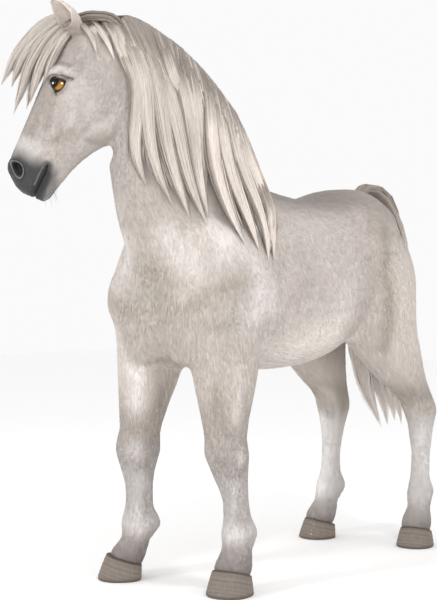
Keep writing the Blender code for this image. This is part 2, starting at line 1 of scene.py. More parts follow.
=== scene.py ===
# A stocky grey pony, standing with its head turned: skin, coat, mane, tail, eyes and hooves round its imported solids.
import math
import bpy
import numpy as np
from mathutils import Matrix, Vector
from mathutils.bvhtree import BVHTree


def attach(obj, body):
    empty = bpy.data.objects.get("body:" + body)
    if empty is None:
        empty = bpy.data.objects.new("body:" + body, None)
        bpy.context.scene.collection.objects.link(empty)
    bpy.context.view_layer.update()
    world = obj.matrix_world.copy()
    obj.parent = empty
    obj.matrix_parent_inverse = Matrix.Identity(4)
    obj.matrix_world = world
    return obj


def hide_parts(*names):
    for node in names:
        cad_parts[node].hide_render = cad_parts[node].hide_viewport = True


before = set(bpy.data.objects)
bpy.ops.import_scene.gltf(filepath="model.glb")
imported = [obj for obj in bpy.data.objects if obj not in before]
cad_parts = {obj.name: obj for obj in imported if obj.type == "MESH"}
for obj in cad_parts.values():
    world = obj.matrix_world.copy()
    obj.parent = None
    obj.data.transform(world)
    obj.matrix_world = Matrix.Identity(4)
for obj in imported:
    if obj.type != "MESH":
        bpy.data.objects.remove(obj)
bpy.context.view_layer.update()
rng = np.random.default_rng(7)
fleshNodes = ["head", "neck", "trunk", "foreleg_left", "foreleg_right", "hindleg_left", "hindleg_right"]
earNodes = ["ear_left", "ear_right"]

# The head's own frame: along to the nose, up out of the forehead, out to its left. Places on it are in head lengths.
headFrame = {"poll": (-0.118, -0.6611, 1.8244), "length": 0.5686, "yaw": 50.0, "pitch": 68.0}
yaw, pitch = math.radians(headFrame["yaw"]), math.radians(headFrame["pitch"])
heading = np.array([-math.sin(yaw), -math.cos(yaw), 0.0])
upright = np.array([0.0, 0.0, 1.0])
headAxes = np.array([
    heading * math.cos(pitch) - upright * math.sin(pitch),
    heading * math.sin(pitch) + upright * math.cos(pitch),
    np.cross(upright, heading),
])
eyePlace = {
    "along": 0.394,
    "up": 0.042,
    "out": 0.143,
    "radius": 0.047,
    "gaze": (0.1, 0.17, 0.98),  # the way it looks
    "inner": (0.949, 0.316, 0.0),  # the way to its inner corner
}


def onHead(along, up, out=0.0):
    return np.array(headFrame["poll"]) + headFrame["length"] * (np.array([along, up, out]) @ headAxes)


def headCoords(points):
    return (points - np.array(headFrame["poll"])) @ headAxes.T / headFrame["length"]


# small tools


def pick(obj):
    bpy.ops.object.select_all(action="DESELECT")
    obj.select_set(True)
    bpy.context.view_layer.objects.active = obj


def finished(obj, kind, **settings):
    pick(obj)
    modifier = obj.modifiers.new(kind.lower(), kind)
    for key, value in settings.items():
        setattr(modifier, key, value)
    bpy.ops.object.modifier_apply(modifier=modifier.name)


def inEdit(obj, mode="VERT"):
    pick(obj)
    bpy.ops.object.mode_set(mode="EDIT")
    bpy.ops.mesh.select_mode(type=mode)


def outOfEdit():
    bpy.ops.object.mode_set(mode="OBJECT")


def readOut(rows, key):
    found = np.empty(len(rows) * 3, np.float32)
    rows.foreach_get(key, found)
    return found.reshape(-1, 3).astype(float)


def readNumbers(rows, key):
    found = np.empty(len(rows), np.int32)
    rows.foreach_get(key, found)
    return found


def pointsOf(obj):
    return readOut(obj.data.vertices, "co")


def normalsOf(obj):
    return readOut(obj.data.vertex_normals, "vector")


def setPoints(obj, points):
    obj.data.vertices.foreach_set("co", points.astype(np.float32).ravel())
    obj.data.update()


def easeIn(value, low, high):
    t = np.clip((value - low) / (high - low), 0, 1)
    return t * t * (3 - 2 * t)


def bump(x):
    return np.clip(1 - x * x, 0, 1) ** 2


def fromPath(points, path):
    # distance of each point from a line of straight pieces
    path = np.asarray(path, float)
    best = np.full(len(points), 1e9)
    for a, b in zip(path, path[1:]):
        d = b - a
        t = np.clip(((points - a) @ d) / max(d @ d, 1e-12), 0, 1)
        best = np.minimum(best, np.linalg.norm(points - a - t[:, None] * d, axis=1))
    return best


def aboutPath(points, path, margin):
    # the points in the box about a line
    low, high = path.min(axis=0) - margin, path.max(axis=0) + margin
    return np.all(points > low, axis=1) & np.all(points < high, axis=1)


def between(at, marks, rows):
    # rows read off at places between their marks
    return np.stack([np.interp(at, marks, column) for column in np.transpose(rows)], axis=-1)


def smoothPath(rows, count):
    # a smooth curve through the rows, with count points evenly spaced along it
    rows = np.asarray(rows, float)
    ends = np.vstack([2 * rows[0] - rows[1], rows, 2 * rows[-1] - rows[-2]])
    made = []
    for a, b, c, d in zip(ends, ends[1:], ends[2:], ends[3:]):
        bend, twist = 2 * a - 5 * b + 4 * c - d, 3 * b - a - 3 * c + d
        for t in np.linspace(0, 1, 12, endpoint=False):
            made.append(0.5 * (2 * b + (c - a) * t + bend * t**2 + twist * t**3))
    made = np.array(made + [rows[-1]])
    reach = np.concatenate([[0], np.cumsum(np.linalg.norm(np.diff(made, axis=0), axis=1))])
    return between(np.linspace(0, reach[-1], count), reach, made)


def meshPiece(name, points, faces):
    # a mesh of triangles
    mesh = bpy.data.meshes.new(name)
    mesh.vertices.add(len(points))
    mesh.vertices.foreach_set("co", points.astype(np.float32).ravel())
    mesh.loops.add(faces.size)
    mesh.loops.foreach_set("vertex_index", faces.astype(np.int32).ravel())
    mesh.polygons.add(len(faces))
    mesh.polygons.foreach_set("loop_start", np.arange(0, faces.size, 3, dtype=np.int32))
    mesh.polygons.foreach_set("use_smooth", np.ones(len(faces), bool))
    mesh.update(calc_edges=True)
    mesh.validate()
    obj = bpy.data.objects.new(name, mesh)
    bpy.context.scene.collection.objects.link(obj)
    return obj


def bakeMap(obj, places):
    layer = obj.data.uv_layers.new(name="OFBake")
    layer.data.foreach_set("uv", places.astype(np.float32).ravel())


def treeOf(objects):
    points, faces, start = [], [], 0
    for obj in objects:
        points += [v.co.copy() for v in obj.data.vertices]
        faces += [[i + start for i in p.vertices] for p in obj.data.polygons]
        start = len(points)
    return BVHTree.FromPolygons(points, faces)


# skin: the solids of flesh copied, made one, smoothed and shaped

skinSizes = {
    "voxel": 0.0045,
    "grow": 0.0006,
    "rounds": 90,
    "triangles": 112000,
    "nostrilPlug": (0.925, 0.075, 0.078),  # where each nostril is filled before it's shaped anew
    "plugRadius": 0.02,
    "coatDepth": {"body": 0.0045, "legs": 0.003, "head": 0.002},
}
# where head and legs blend into the body: distances from the head's middle line, and heights
regionEdges = {"head": (-0.36, -0.26), "poll": (1.7, 1.76), "legs": (0.5, 0.72)}


def regionWeights(points):
    # how much of the body, the lower legs and the head each point belongs to
    head = easeIn(-fromPath(points, [onHead(0.05, -0.1), onHead(0.95, 0.0)]), *regionEdges["head"])
    head = np.maximum(head, easeIn(points[:, 2], *regionEdges["poll"]))
    legs = 1 - easeIn(points[:, 2], *regionEdges["legs"])
    return {"head": head, "legs": legs * (1 - head), "body": (1 - legs) * (1 - head)}


def copyOf(name):
    # a copy of a solid with its loose triangles merged, grown a hair so that it meets its neighbours
    piece = bpy.data.objects.new("flesh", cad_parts[name].data.copy())
    bpy.context.scene.collection.objects.link(piece)
    inEdit(piece)
    bpy.ops.mesh.select_all(action="SELECT")
    bpy.ops.mesh.remove_doubles(threshold=0.00005)
    outOfEdit()
    setPoints(piece, pointsOf(piece) + normalsOf(piece) * skinSizes["grow"])
    return piece


def makeSkin():
    pieces = [copyOf(name) for name in [*fleshNodes, *earNodes, "eye_left", "eye_right"]]
    along, up, out = skinSizes["nostrilPlug"]
    for side in (1, -1):
        bpy.ops.mesh.primitive_uv_sphere_add(
            segments=24, ring_count=12, radius=skinSizes["plugRadius"], location=onHead(along, up, out * side)
        )
        pieces.append(bpy.context.object)
    bpy.ops.object.select_all(action="DESELECT")
    for piece in pieces:
        piece.select_set(True)
    skin = pieces[0]
    bpy.context.view_layer.objects.active = skin
    bpy.ops.object.join()
    skin.name = "skin"
    skin.data.materials.clear()
    finished(skin, "REMESH", mode="VOXEL", voxel_size=skinSizes["voxel"], use_smooth_shade=True)
    print("skin remeshed", len(skin.data.polygons))
    soften(skin, pointsOf(skin))
    sizes = skinSizes["coatDepth"]
    weights = regionWeights(pointsOf(skin))
    depth = sum(weights[part] * sizes[part] for part in sizes)
    setPoints(skin, pointsOf(skin) - normalsOf(skin) * depth[:, None])
    thin(skin)
    print("skin smoothed", len(skin.data.polygons))
    return skin


def evened(obj, values, rounds):
    # values smoothed over the mesh as if they were places
    setPoints(obj, values)
    finished(obj, "SMOOTH", factor=1.0, iterations=rounds, vertex_group="softly")
    return pointsOf(obj)


def levelled(obj, name, weights, levels):
    # a vertex group whose weights go up in even steps
    group = obj.vertex_groups.new(name=name)
    for level in range(levels + 1):
        chosen = np.nonzero(np.round(weights * levels).astype(int) == level)[0]
        group.add(chosen.tolist(), level / levels, "REPLACE")


def soften(skin, start):
    # facets smoothed away without thinning the legs: what each pass takes off too much is given back
    weights = regionWeights(start)
    levelled(skin, "softly", weights["body"] + weights["legs"] * 0.25 + weights["head"] * 0.14, 10)
    rounds = skinSizes["rounds"]
    made = evened(skin, start, rounds)
    for _ in range(2):
        made = made + evened(skin, start - made, rounds)
    setPoints(skin, made)
    skin.vertex_groups.remove(skin.vertex_groups["softly"])


def thin(skin):
    # fewer triangles on the body than on the head
    fine = np.clip(regionWeights(pointsOf(skin))["head"], 0, 1)
    levelled(skin, "thinly", 1 - 0.75 * fine, 4)
    ratio = skinSizes["triangles"] / (2 * len(skin.data.polygons))
    weighted = {"vertex_group": "thinly", "vertex_group_factor": 1.0}
    finished(skin, "DECIMATE", ratio=ratio, use_collapse_triangulate=True, **weighted)
    skin.vertex_groups.remove(skin.vertex_groups["thinly"])


def refine(obj, near, repeat):
    # the faces whose middles near() picks are cut finer and evened out
    inEdit(obj, "FACE")
    bpy.ops.mesh.select_all(action="DESELECT")
    outOfEdit()
    obj.data.polygons.foreach_set("select", near(readOut(obj.data.polygons, "center")))
    inEdit(obj, "FACE")
    bpy.ops.mesh.subdivide(number_cuts=1)
    bpy.ops.mesh.vertices_smooth(factor=0.5, repeat=repeat)
    outOfEdit()


# the face: lids, nostrils, mouth and the bones under the skin, in head lengths

eyeShape = {
    "lid": 0.0032,  # thickness of the lids over the ball, in metres
    "corner": 0.0435,
    "base": -0.017,  # height of the corners from the ball's middle
    "upper": 0.056,
    "lower": 0.018,
    "lean": 0.007,  # how far the upper lid's top lies towards the nose
    "hood": 0.021,  # how high above the ball's middle the lid hangs
}
nostril = {"middle": (0.916, 0.088), "way": (0.734, -0.678), "long": 0.046, "wide": 0.026, "deep": 0.016}
mouth = {"line": ((0.838, -0.058), (0.88, -0.062), (0.94, -0.056), (1.06, -0.042)), "width": 0.011, "deep": 0.006}

# name: the line it follows as (along, up, out), its half width, and its height in millimetres; both sides alike
faceMarks = {
    "facialCrest": (((0.475, -0.02, 0.15), (0.56, -0.025, 0.13), (0.66, -0.03, 0.108)), 0.03, 4.0),
    "crestShadow": (((0.5, -0.075, 0.145), (0.6, -0.078, 0.118), (0.7, -0.07, 0.1)), 0.034, -3.0),
    "noseGroove": (((0.5, 0.085, 0.118), (0.62, 0.08, 0.1), (0.76, 0.085, 0.085)), 0.036, -3.0),
    "noseBone": (((0.46, 0.128, 0.088), (0.6, 0.13, 0.07), (0.78, 0.135, 0.055)), 0.028, 2.0),
    "browBone": (((0.3, 0.04, 0.16), (0.325, 0.098, 0.15), (0.375, 0.132, 0.135)), 0.03, 4.5),
    "templeHollow": (((0.245, 0.085, 0.145), (0.275, 0.105, 0.14)), 0.045, -5.0),
    "cheekArch": (((0.33, -0.03, 0.17), (0.25, -0.02, 0.168), (0.17, -0.01, 0.155)), 0.026, 3.0),
    "jawEdge": (
        ((0.12, -0.235, 0.105), (0.22, -0.3, 0.105), (0.34, -0.33, 0.1), (0.46, -0.305, 0.098), (0.56, -0.245, 0.09)),
        0.04, 3.0,
    ),
    "jawGroove": (((0.5, -0.225, 0.11), (0.58, -0.19, 0.1), (0.68, -0.15, 0.088)), 0.03, -3.0),
    "cheekFold": (((0.2, -0.1, 0.165), (0.24, -0.19, 0.155), (0.33, -0.25, 0.145)), 0.03, -1.8),
    "throatGroove": (((0.06, -0.1, 0.13), (0.08, -0.2, 0.12), (0.14, -0.3, 0.1)), 0.034, -4.0),
    "lidFold": (((0.33, 0.005, 0.18), (0.335, 0.06, 0.176), (0.368, 0.104, 0.166), (0.42, 0.115, 0.15)), 0.01, -1.8),
    "lidRoll": (((0.342, 0.0, 0.186), (0.35, 0.05, 0.186), (0.375, 0.09, 0.176), (0.42, 0.1, 0.16)), 0.01, 1.6),
    "lowerFold": (((0.36, -0.02, 0.18), (0.41, -0.022, 0.178), (0.46, 0.0, 0.165)), 0.01, -1.2),
    "tearLine": (((0.455, 0.025, 0.165), (0.49, 0.02, 0.15), (0.53, 0.005, 0.14)), 0.012, -1.5),
    "vein": (((0.47, -0.065, 0.15), (0.55, -0.1, 0.135), (0.62, -0.1, 0.115), (0.7, -0.105, 0.1)), 0.009, 1.0),
    "lipUpper": (((0.86, -0.036, 0.095), (0.93, -0.04, 0.09), (1.0, -0.03, 0.06)), 0.026, 2.0),
    "lipLower": (((0.87, -0.1, 0.08), (0.94, -0.105, 0.07), (1.0, -0.095, 0.045)), 0.026, 2.5),
    "mouthCorner": (((0.82, -0.05, 0.1), (0.815, -0.085, 0.098)), 0.018, 1.8),
    "nostrilWing": (((0.855, 0.118, 0.09), (0.87, 0.07, 0.105), (0.905, 0.035, 0.11)), 0.024, 2.5),
    "foreheadBump": (((0.3, 0.13, 0.03), (0.38, 0.14, 0.02)), 0.07, 2.0),
}


def eyeCentre(side):
    return onHead(eyePlace["along"], eyePlace["up"], eyePlace["out"] * side)


def eyeAxes(side):
    # the way an eye looks, the way to its inner corner and the way to its upper lid
    gaze = np.array(eyePlace["gaze"]) * np.array([1, 1, side])
    gaze /= np.linalg.norm(gaze)
    corner = np.array(eyePlace["inner"])
    corner -= gaze * (corner @ gaze)
    corner /= np.linalg.norm(corner)
    brow = np.cross(gaze, corner) * side
    return gaze @ headAxes, corner @ headAxes, brow @ headAxes


def lidLift(x, y):
    # height on the eye as the head is held
    return 0.375 * y - 0.927 * x


def eyeSpot(points, side):
    # places near an eye, in head lengths: to the inner corner, to the upper lid, outwards,
    # and how far inside the lids
    centre = eyeCentre(side)
    gaze, corner, brow = eyeAxes(side)
    q = (points - centre) / headFrame["length"]
    x, y, z = q @ corner, q @ brow, q @ gaze
    wide = eyeShape["corner"]
    s = np.clip(np.abs(x / wide), 0, 1)
    lean = eyeShape["lean"]
    peak = np.where(x > lean, (x - lean) / (wide - lean), (x - lean) / (wide + lean))
    upper = eyeShape["base"] + eyeShape["upper"] * np.clip(1 - peak**2, 0, 1) ** 0.75
    lower = eyeShape["base"] - eyeShape["lower"] * (1 - s**2) ** 0.8
    inside = np.minimum(np.minimum(upper - y, y - lower), (wide - np.abs(x)) * 0.8)
    inside = np.minimum(inside, eyeShape["hood"] - lidLift(x, y))
    return x, y, z, inside


def openEyes(skin):
    size = headFrame["length"]
    ball = eyePlace["radius"] * size
    for side in (1, -1):
        centre = eyeCentre(side)
        away = lambda m: np.linalg.norm(m - centre, axis=1)
        refine(skin, lambda m: away(m) < 0.062, 4)
        refine(skin, lambda m: away(m) < 0.046, 4)
        refine(skin, lambda m: (np.abs(eyeSpot(m, side)[3]) < 0.009) & (away(m) < 0.04), 2)
        points = pointsOf(skin)
        z, inside = eyeSpot(points, side)[2:]
        q = points - centre
        reach = np.linalg.norm(q, axis=1)
        near = (reach < 0.07) & (z > -0.01)
        lidReach = ball + eyeShape["lid"]
        lidded = (reach**10 + lidReach**10) ** 0.1
        roll = 0.001 * bump((inside + 0.006) / 0.007)
        opened = ball - 0.0045
        mix = easeIn(inside * size, -0.0004, 0.0012)
        made = (lidded + roll) * (1 - mix) + opened * mix
        made = np.where(near, made, reach)
        setPoints(skin, centre + q * (made / np.maximum(reach, 1e-9))[:, None])


def shapeFace(skin):
    points = pointsOf(skin)
    t, u, o = headCoords(points).T
    place = np.stack([t, u, np.abs(o)], axis=1)
    lift = np.zeros(len(points))
    loose = np.array([1, 1, 0.35])  # how far out a line lies matters little
    for line, width, height in faceMarks.values():
        lift += bump(fromPath(place * loose, np.array(line) * loose) / width) * height / 1000
    gap = fromPath(place[:, :2], mouth["line"])
    onMouth = (t > 0.82) & (np.abs(u + 0.06) < 0.09)
    lift -= np.where(onMouth, bump(gap / mouth["width"]) * mouth["deep"], 0)
    lift *= (t > -0.1) & (regionWeights(points)["head"] > 0.02)
    setPoints(skin, points + normalsOf(skin) * lift[:, None])


def nostrilSpot(place):
    # distance from the middle of the nostril in parts of its size, 1 on its rim
    way = np.array(nostril["way"])
    q = place[:, :2] - np.array(nostril["middle"])
    a, b = q @ way, q @ np.array([-way[1], way[0]])
    b = b + 0.1 * a * np.abs(a) / nostril["long"] - 4.0 * a * a  # bent like a comma
    return np.hypot(a / nostril["long"], b / nostril["wide"])


def openNostrils(skin):
    def near(middles):
        t, u, o = headCoords(middles).T
        return (nostrilSpot(np.stack([t, u], axis=1)) < 1.5) & (np.abs(o) > 0.03) & (t > 0.8)

    def nearMouth(middles):
        place = headCoords(middles)[:, :2]
        return (fromPath(place, mouth["line"]) < 0.024) & (place[:, 0] > 0.81)

    refine(skin, lambda m: near(m) | nearMouth(m), 2)
    refine(skin, near, 2)
    points = pointsOf(skin)
    t, u, o = headCoords(points).T
    place = np.stack([t, u, np.abs(o)], axis=1)
    rim = nostrilSpot(place)
    here = (place[:, 2] > 0.03) & (t > 0.8)
    sink = nostril["deep"] * (1 - easeIn(rim, 0.55, 1.0)) - 0.003 * bump((rim - 1.15) / 0.35)
    inward = -np.sign(o)[:, None] * headAxes[2] * 0.8 - headAxes[0] * 0.35 - headAxes[1] * 0.3
    setPoints(skin, points + np.where(here, sink, 0)[:, None] * inward)


skin = makeSkin()
shapeFace(skin)
openNostrils(skin)
openEyes(skin)
print("face shaped", len(skin.data.polygons))

# the body's muscles and tendons: lines on the left half as (side, y, z), laid onto the skin;
# widths in metres, heights in mm

middleX = 0.047
bodyMarks = {
    "bladeSpine": (((0.1, -0.14, 1.3), (0.2, -0.36, 1.04)), 0.05, 4.0),
    "bladeGroove": (((0.09, -0.33, 1.33), (0.16, -0.46, 1.12), (0.19, -0.52, 1.02)), 0.055, -5.0),
    "shoulderPoint": (((0.17, -0.52, 0.96), (0.18, -0.48, 0.92)), 0.075, 6.0),
    "tricepsEdge": (((0.22, -0.15, 1.12), (0.22, -0.24, 0.92), (0.19, -0.29, 0.84)), 0.05, -5.0),
    "elbow": (((0.16, -0.3, 0.79), (0.16, -0.33, 0.76)), 0.05, 4.5),
    "armGroove": (((0.2, -0.42, 0.86), (0.17, -0.46, 0.74)), 0.04, -4.0),
    "chestFurrow": (((0.0, -0.6, 1.02), (0.0, -0.62, 0.88), (0.0, -0.55, 0.76)), 0.04, -8.0),
    "breast": (((0.075, -0.6, 0.97), (0.085, -0.6, 0.86)), 0.065, 6.0),
    "flankHollow": (((0.22, 0.32, 1.1), (0.22, 0.4, 1.02)), 0.1, -8.0),
    "hipPoint": (((0.2, 0.4, 1.25), (0.19, 0.43, 1.22)), 0.06, 5.0),
    "stifle": (((0.22, 0.42, 0.84), (0.2, 0.42, 0.78)), 0.065, 6.0),
    "stifleFold": (((0.24, 0.3, 0.92), (0.23, 0.34, 0.84), (0.2, 0.37, 0.74)), 0.04, -5.0),
    "hamGroove": (((0.22, 0.58, 1.16), (0.22, 0.64, 0.96), (0.18, 0.64, 0.78)), 0.045, -4.5),
    "gaskin": (((0.19, 0.52, 0.78), (0.17, 0.56, 0.68)), 0.045, 3.5),
    "ribOne": (((0.26, -0.02, 1.16), (0.27, -0.05, 0.9)), 0.03, -1.6),
    "ribTwo": (((0.27, 0.07, 1.14), (0.28, 0.05, 0.88)), 0.03, -1.6),
    "ribThree": (((0.27, 0.16, 1.12), (0.28, 0.15, 0.88)), 0.03, -1.6),
    "ribFour": (((0.26, 0.25, 1.1), (0.27, 0.24, 0.88)), 0.03, -1.6),
    "spine": (((0.0, -0.05, 1.36), (0.0, 0.2, 1.34), (0.0, 0.5, 1.37)), 0.045, -3.0),
}

# on each lower leg: heights from and to, the turns from the toe in degrees, half width in metres and height in mm
legMarks = {
    "kneeCap": ("fore", 0.485, 0.425, (0,), 0.03, 3.0),
    "kneeBack": ("fore", 0.44, 0.41, (180,), 0.024, 3.5),
    "kneeGroove": ("fore", 0.465, 0.425, (62, -62), 0.016, -2.0),
    "foreTendon": ("fore", 0.37, 0.21, (118, -118), 0.014, -3.0),
    "foreArmGroove": ("fore", 0.62, 0.5, (100,), 0.028, -3.0),
    "ergot": ("fore", 0.175, 0.16, (180,), 0.02, 2.0),
    "pasternFold": ("fore", 0.12, 0.112, (180,), 0.022, -2.0),
    "hockBone": ("hind", 0.565, 0.53, (90,), 0.026, 2.5),
    "hockHollow": ("hind", 0.62, 0.57, (130, -130), 0.028, -4.0),
    "hindTendon": ("hind", 0.44, 0.22, (118, -118), 0.014, -3.0),
    "hindErgot": ("hind", 0.18, 0.165, (180,), 0.02, 2.0),
}

# name: end of the limb, where its sole stands, and the turn of its toe to the right in degrees
limbs = {
    "foreLeft": ("fore", (0.2625, -0.4385), -12),
    "foreRight": ("fore", (-0.1732, -0.4884), 38),
    "hindLeft": ("hind", (0.2897, 0.6358), -14),
    "hindRight": ("hind", (-0.1022, 0.5475), 14),
}
hoofNodes = ["hoof_fore_left", "hoof_fore_right", "hoof_hind_left", "hoof_hind_right"]
hoofSlope = 0.3
limbLines = {}
throat = {"line": ((0.605, -0.31), (0.635, -0.33)), "way": (-0.55, -0.83), "reach": 0.085, "deep": 0.019}
pastern = {"below": 0.16, "deep": 0.011, "from": -0.004, "to": 0.03}  # about the hoof's upper edge


def toeWay(limb, turn=0.0):
    # a level direction turned from the way the toe points
    a = math.radians(limbs[limb][2] + turn)
    return np.array([-math.sin(a), -math.cos(a), 0.0])


def limbOf(points):
    # the number of the leg each point stands on, -1 above the legs
    left = points[:, 0] > middleX
    number = np.where(points[:, 1] < 0.05, 0, 2) + np.where(left, 0, 1)
    return np.where(points[:, 2] < 0.66, number, -1)


def findLimbLines(points):
    # the middle line of each leg, from its slices
    number = limbOf(points)
    for k, name in enumerate(limbs):
        own = points[number == k]
        rows = []
        for z in np.arange(0.07, 0.66, 0.02):
            ring = own[np.abs(own[:, 2] - z) < 0.012]
            if len(ring) > 8:
                rows.append([*(ring[:, :2].min(axis=0) + ring[:, :2].max(axis=0)) / 2, z])
        limbLines[name] = np.array(rows)


def onLimb(name, height, reach, turn):
    rows = limbLines[name]
    return between(height, rows[:, 2], rows) + toeWay(name, turn) * reach


def hoofRing(points, limb):
    # height on the hoof, measured along the slope of its hairline
    foot = np.array([*limbs[limb][1], 0.0])
    return points[:, 2] - hoofSlope * ((points - foot) @ toeWay(limb))


def shapeBody(skin):
    points = pointsOf(skin)
    findLimbLines(points)
    tree = treeOf([skin])
    lift = np.zeros(len(points))
    low = points[:, 2] < 1.45
    for line, width, height in bodyMarks.values():
        for side in (1, -1):
            if side < 0 and all(p[0] == 0 for p in line):
                continue
            spots = [(middleX + side * x, y, z) for x, y, z in smoothPath(line, 7)]
            path = np.array([tree.find_nearest(Vector(spot))[0] for spot in spots])
            near = low & aboutPath(points, path, width)
            lift[near] += bump(fromPath(points[near], path) / width) * height / 1000
    for kind, start, end, turns, width, height in legMarks.values():
        for turn, limb in ((turn, limb) for turn in turns for limb in limbs):
            if limbs[limb][0] != kind:
                continue
            spots = [onLimb(limb, z, 0.05, turn) for z in np.linspace(start, end, 5)]
            path = np.array([tree.find_nearest(Vector(spot))[0] for spot in spots])
            near = aboutPath(points, path, width)
            lift[near] += bump(fromPath(points[near], path) / width) * height / 1000
    points += normalsOf(skin) * lift[:, None]
    # the throat is drawn up behind the jaw
    t, u, o = headCoords(points).T
    gap = fromPath(np.stack([t, u, o * 0.25], axis=1), [(*p, 0.0) for p in throat["line"]])
    way = headAxes[0] * throat["way"][0] + headAxes[1] * throat["way"][1]
    points += (bump(gap / throat["reach"]) * throat["deep"])[:, None] * way
    # the pasterns reach down into the hooves
    number = limbOf(points)
    for k, limb in enumerate(limbs):
        own = (number == k) & (points[:, 2] < pastern["below"])
        high = np.percentile(hoofRing(pointsOf(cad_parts[hoofNodes[k]]), limb), 97)
        ring = hoofRing(points[own], limb)
        points[own, 2] -= pastern["deep"] * (1 - easeIn(ring, high + pastern["from"], high + pastern["to"]))
    setPoints(skin, points)


shapeBody(skin)
print("body shaped")


# the grey coat's colours, as sRGB of the lit animal; shared by skin and coat

peltGain = {"red": 0.97, "green": 0.96, "blue": 0.955}
peltTint = np.array(list(peltGain.values()))
peltBase = {"colour": (204, 195, 187), "weight": 0.02}

# name: a line in the middle of the area as (x, y, z), how far it reaches, and its colour
# where an area differs from its twin on the other side, the difference is painted light and shade; groin and armpit
# are darker as painted shade
peltAreas = {
    "chest": (((0.0, -0.6, 1.0), (0.02, -0.6, 0.85)), 0.15, (188, 180, 172)),
    "shoulderLeft": (((0.25, -0.3, 1.15), (0.26, -0.42, 0.98)), 0.14, (203, 195, 188)),
    "shoulderRight": (((-0.16, -0.3, 1.15), (-0.17, -0.42, 0.98)), 0.14, (215, 207, 200)),
    "neckFront": (((-0.13, -0.55, 1.38), (-0.06, -0.6, 1.15)), 0.1, (188, 178, 170)),
    "neckSide": (((0.02, -0.52, 1.55), (0.14, -0.42, 1.25)), 0.14, (199, 190, 182)),
    "ribsLeft": (((0.32, -0.05, 1.02), (0.33, 0.2, 1.0)), 0.18, (211, 202, 196)),
    "ribsRight": (((-0.22, -0.05, 1.02), (-0.23, 0.2, 1.0)), 0.18, (215, 206, 200)),
    "belly": (((0.05, -0.2, 0.7), (0.05, 0.25, 0.68)), 0.16, (236, 228, 220)),
    "back": (((0.05, -0.1, 1.38), (0.05, 0.35, 1.38)), 0.12, (146, 138, 131)),
    "rump": (((0.17, 0.55, 1.3), (-0.07, 0.55, 1.3)), 0.16, (174, 165, 158)),
    "flankLeft": (((0.28, 0.36, 1.05), (0.27, 0.34, 0.88)), 0.08, (198, 188, 180)),
    "thighLeft": (((0.27, 0.52, 1.05), (0.25, 0.56, 0.88)), 0.13, (228, 219, 211)),
    "thighRight": (((-0.18, 0.52, 1.05), (-0.16, 0.56, 0.88)), 0.13, (206, 197, 189)),
    "shadedGroin": (((0.05, 0.42, 0.76), (0.05, 0.55, 0.86)), 0.12, (178, 167, 158)),
    "shadedArmpit": (((0.05, -0.3, 0.76), (0.05, -0.4, 0.78)), 0.09, (184, 173, 164)),
    "armLeft": (((0.23, -0.42, 0.8), (0.23, -0.42, 0.66)), 0.09, (204, 195, 187)),
    "armRight": (((-0.15, -0.44, 0.8), (-0.15, -0.44, 0.66)), 0.09, (236, 228, 221)),
}
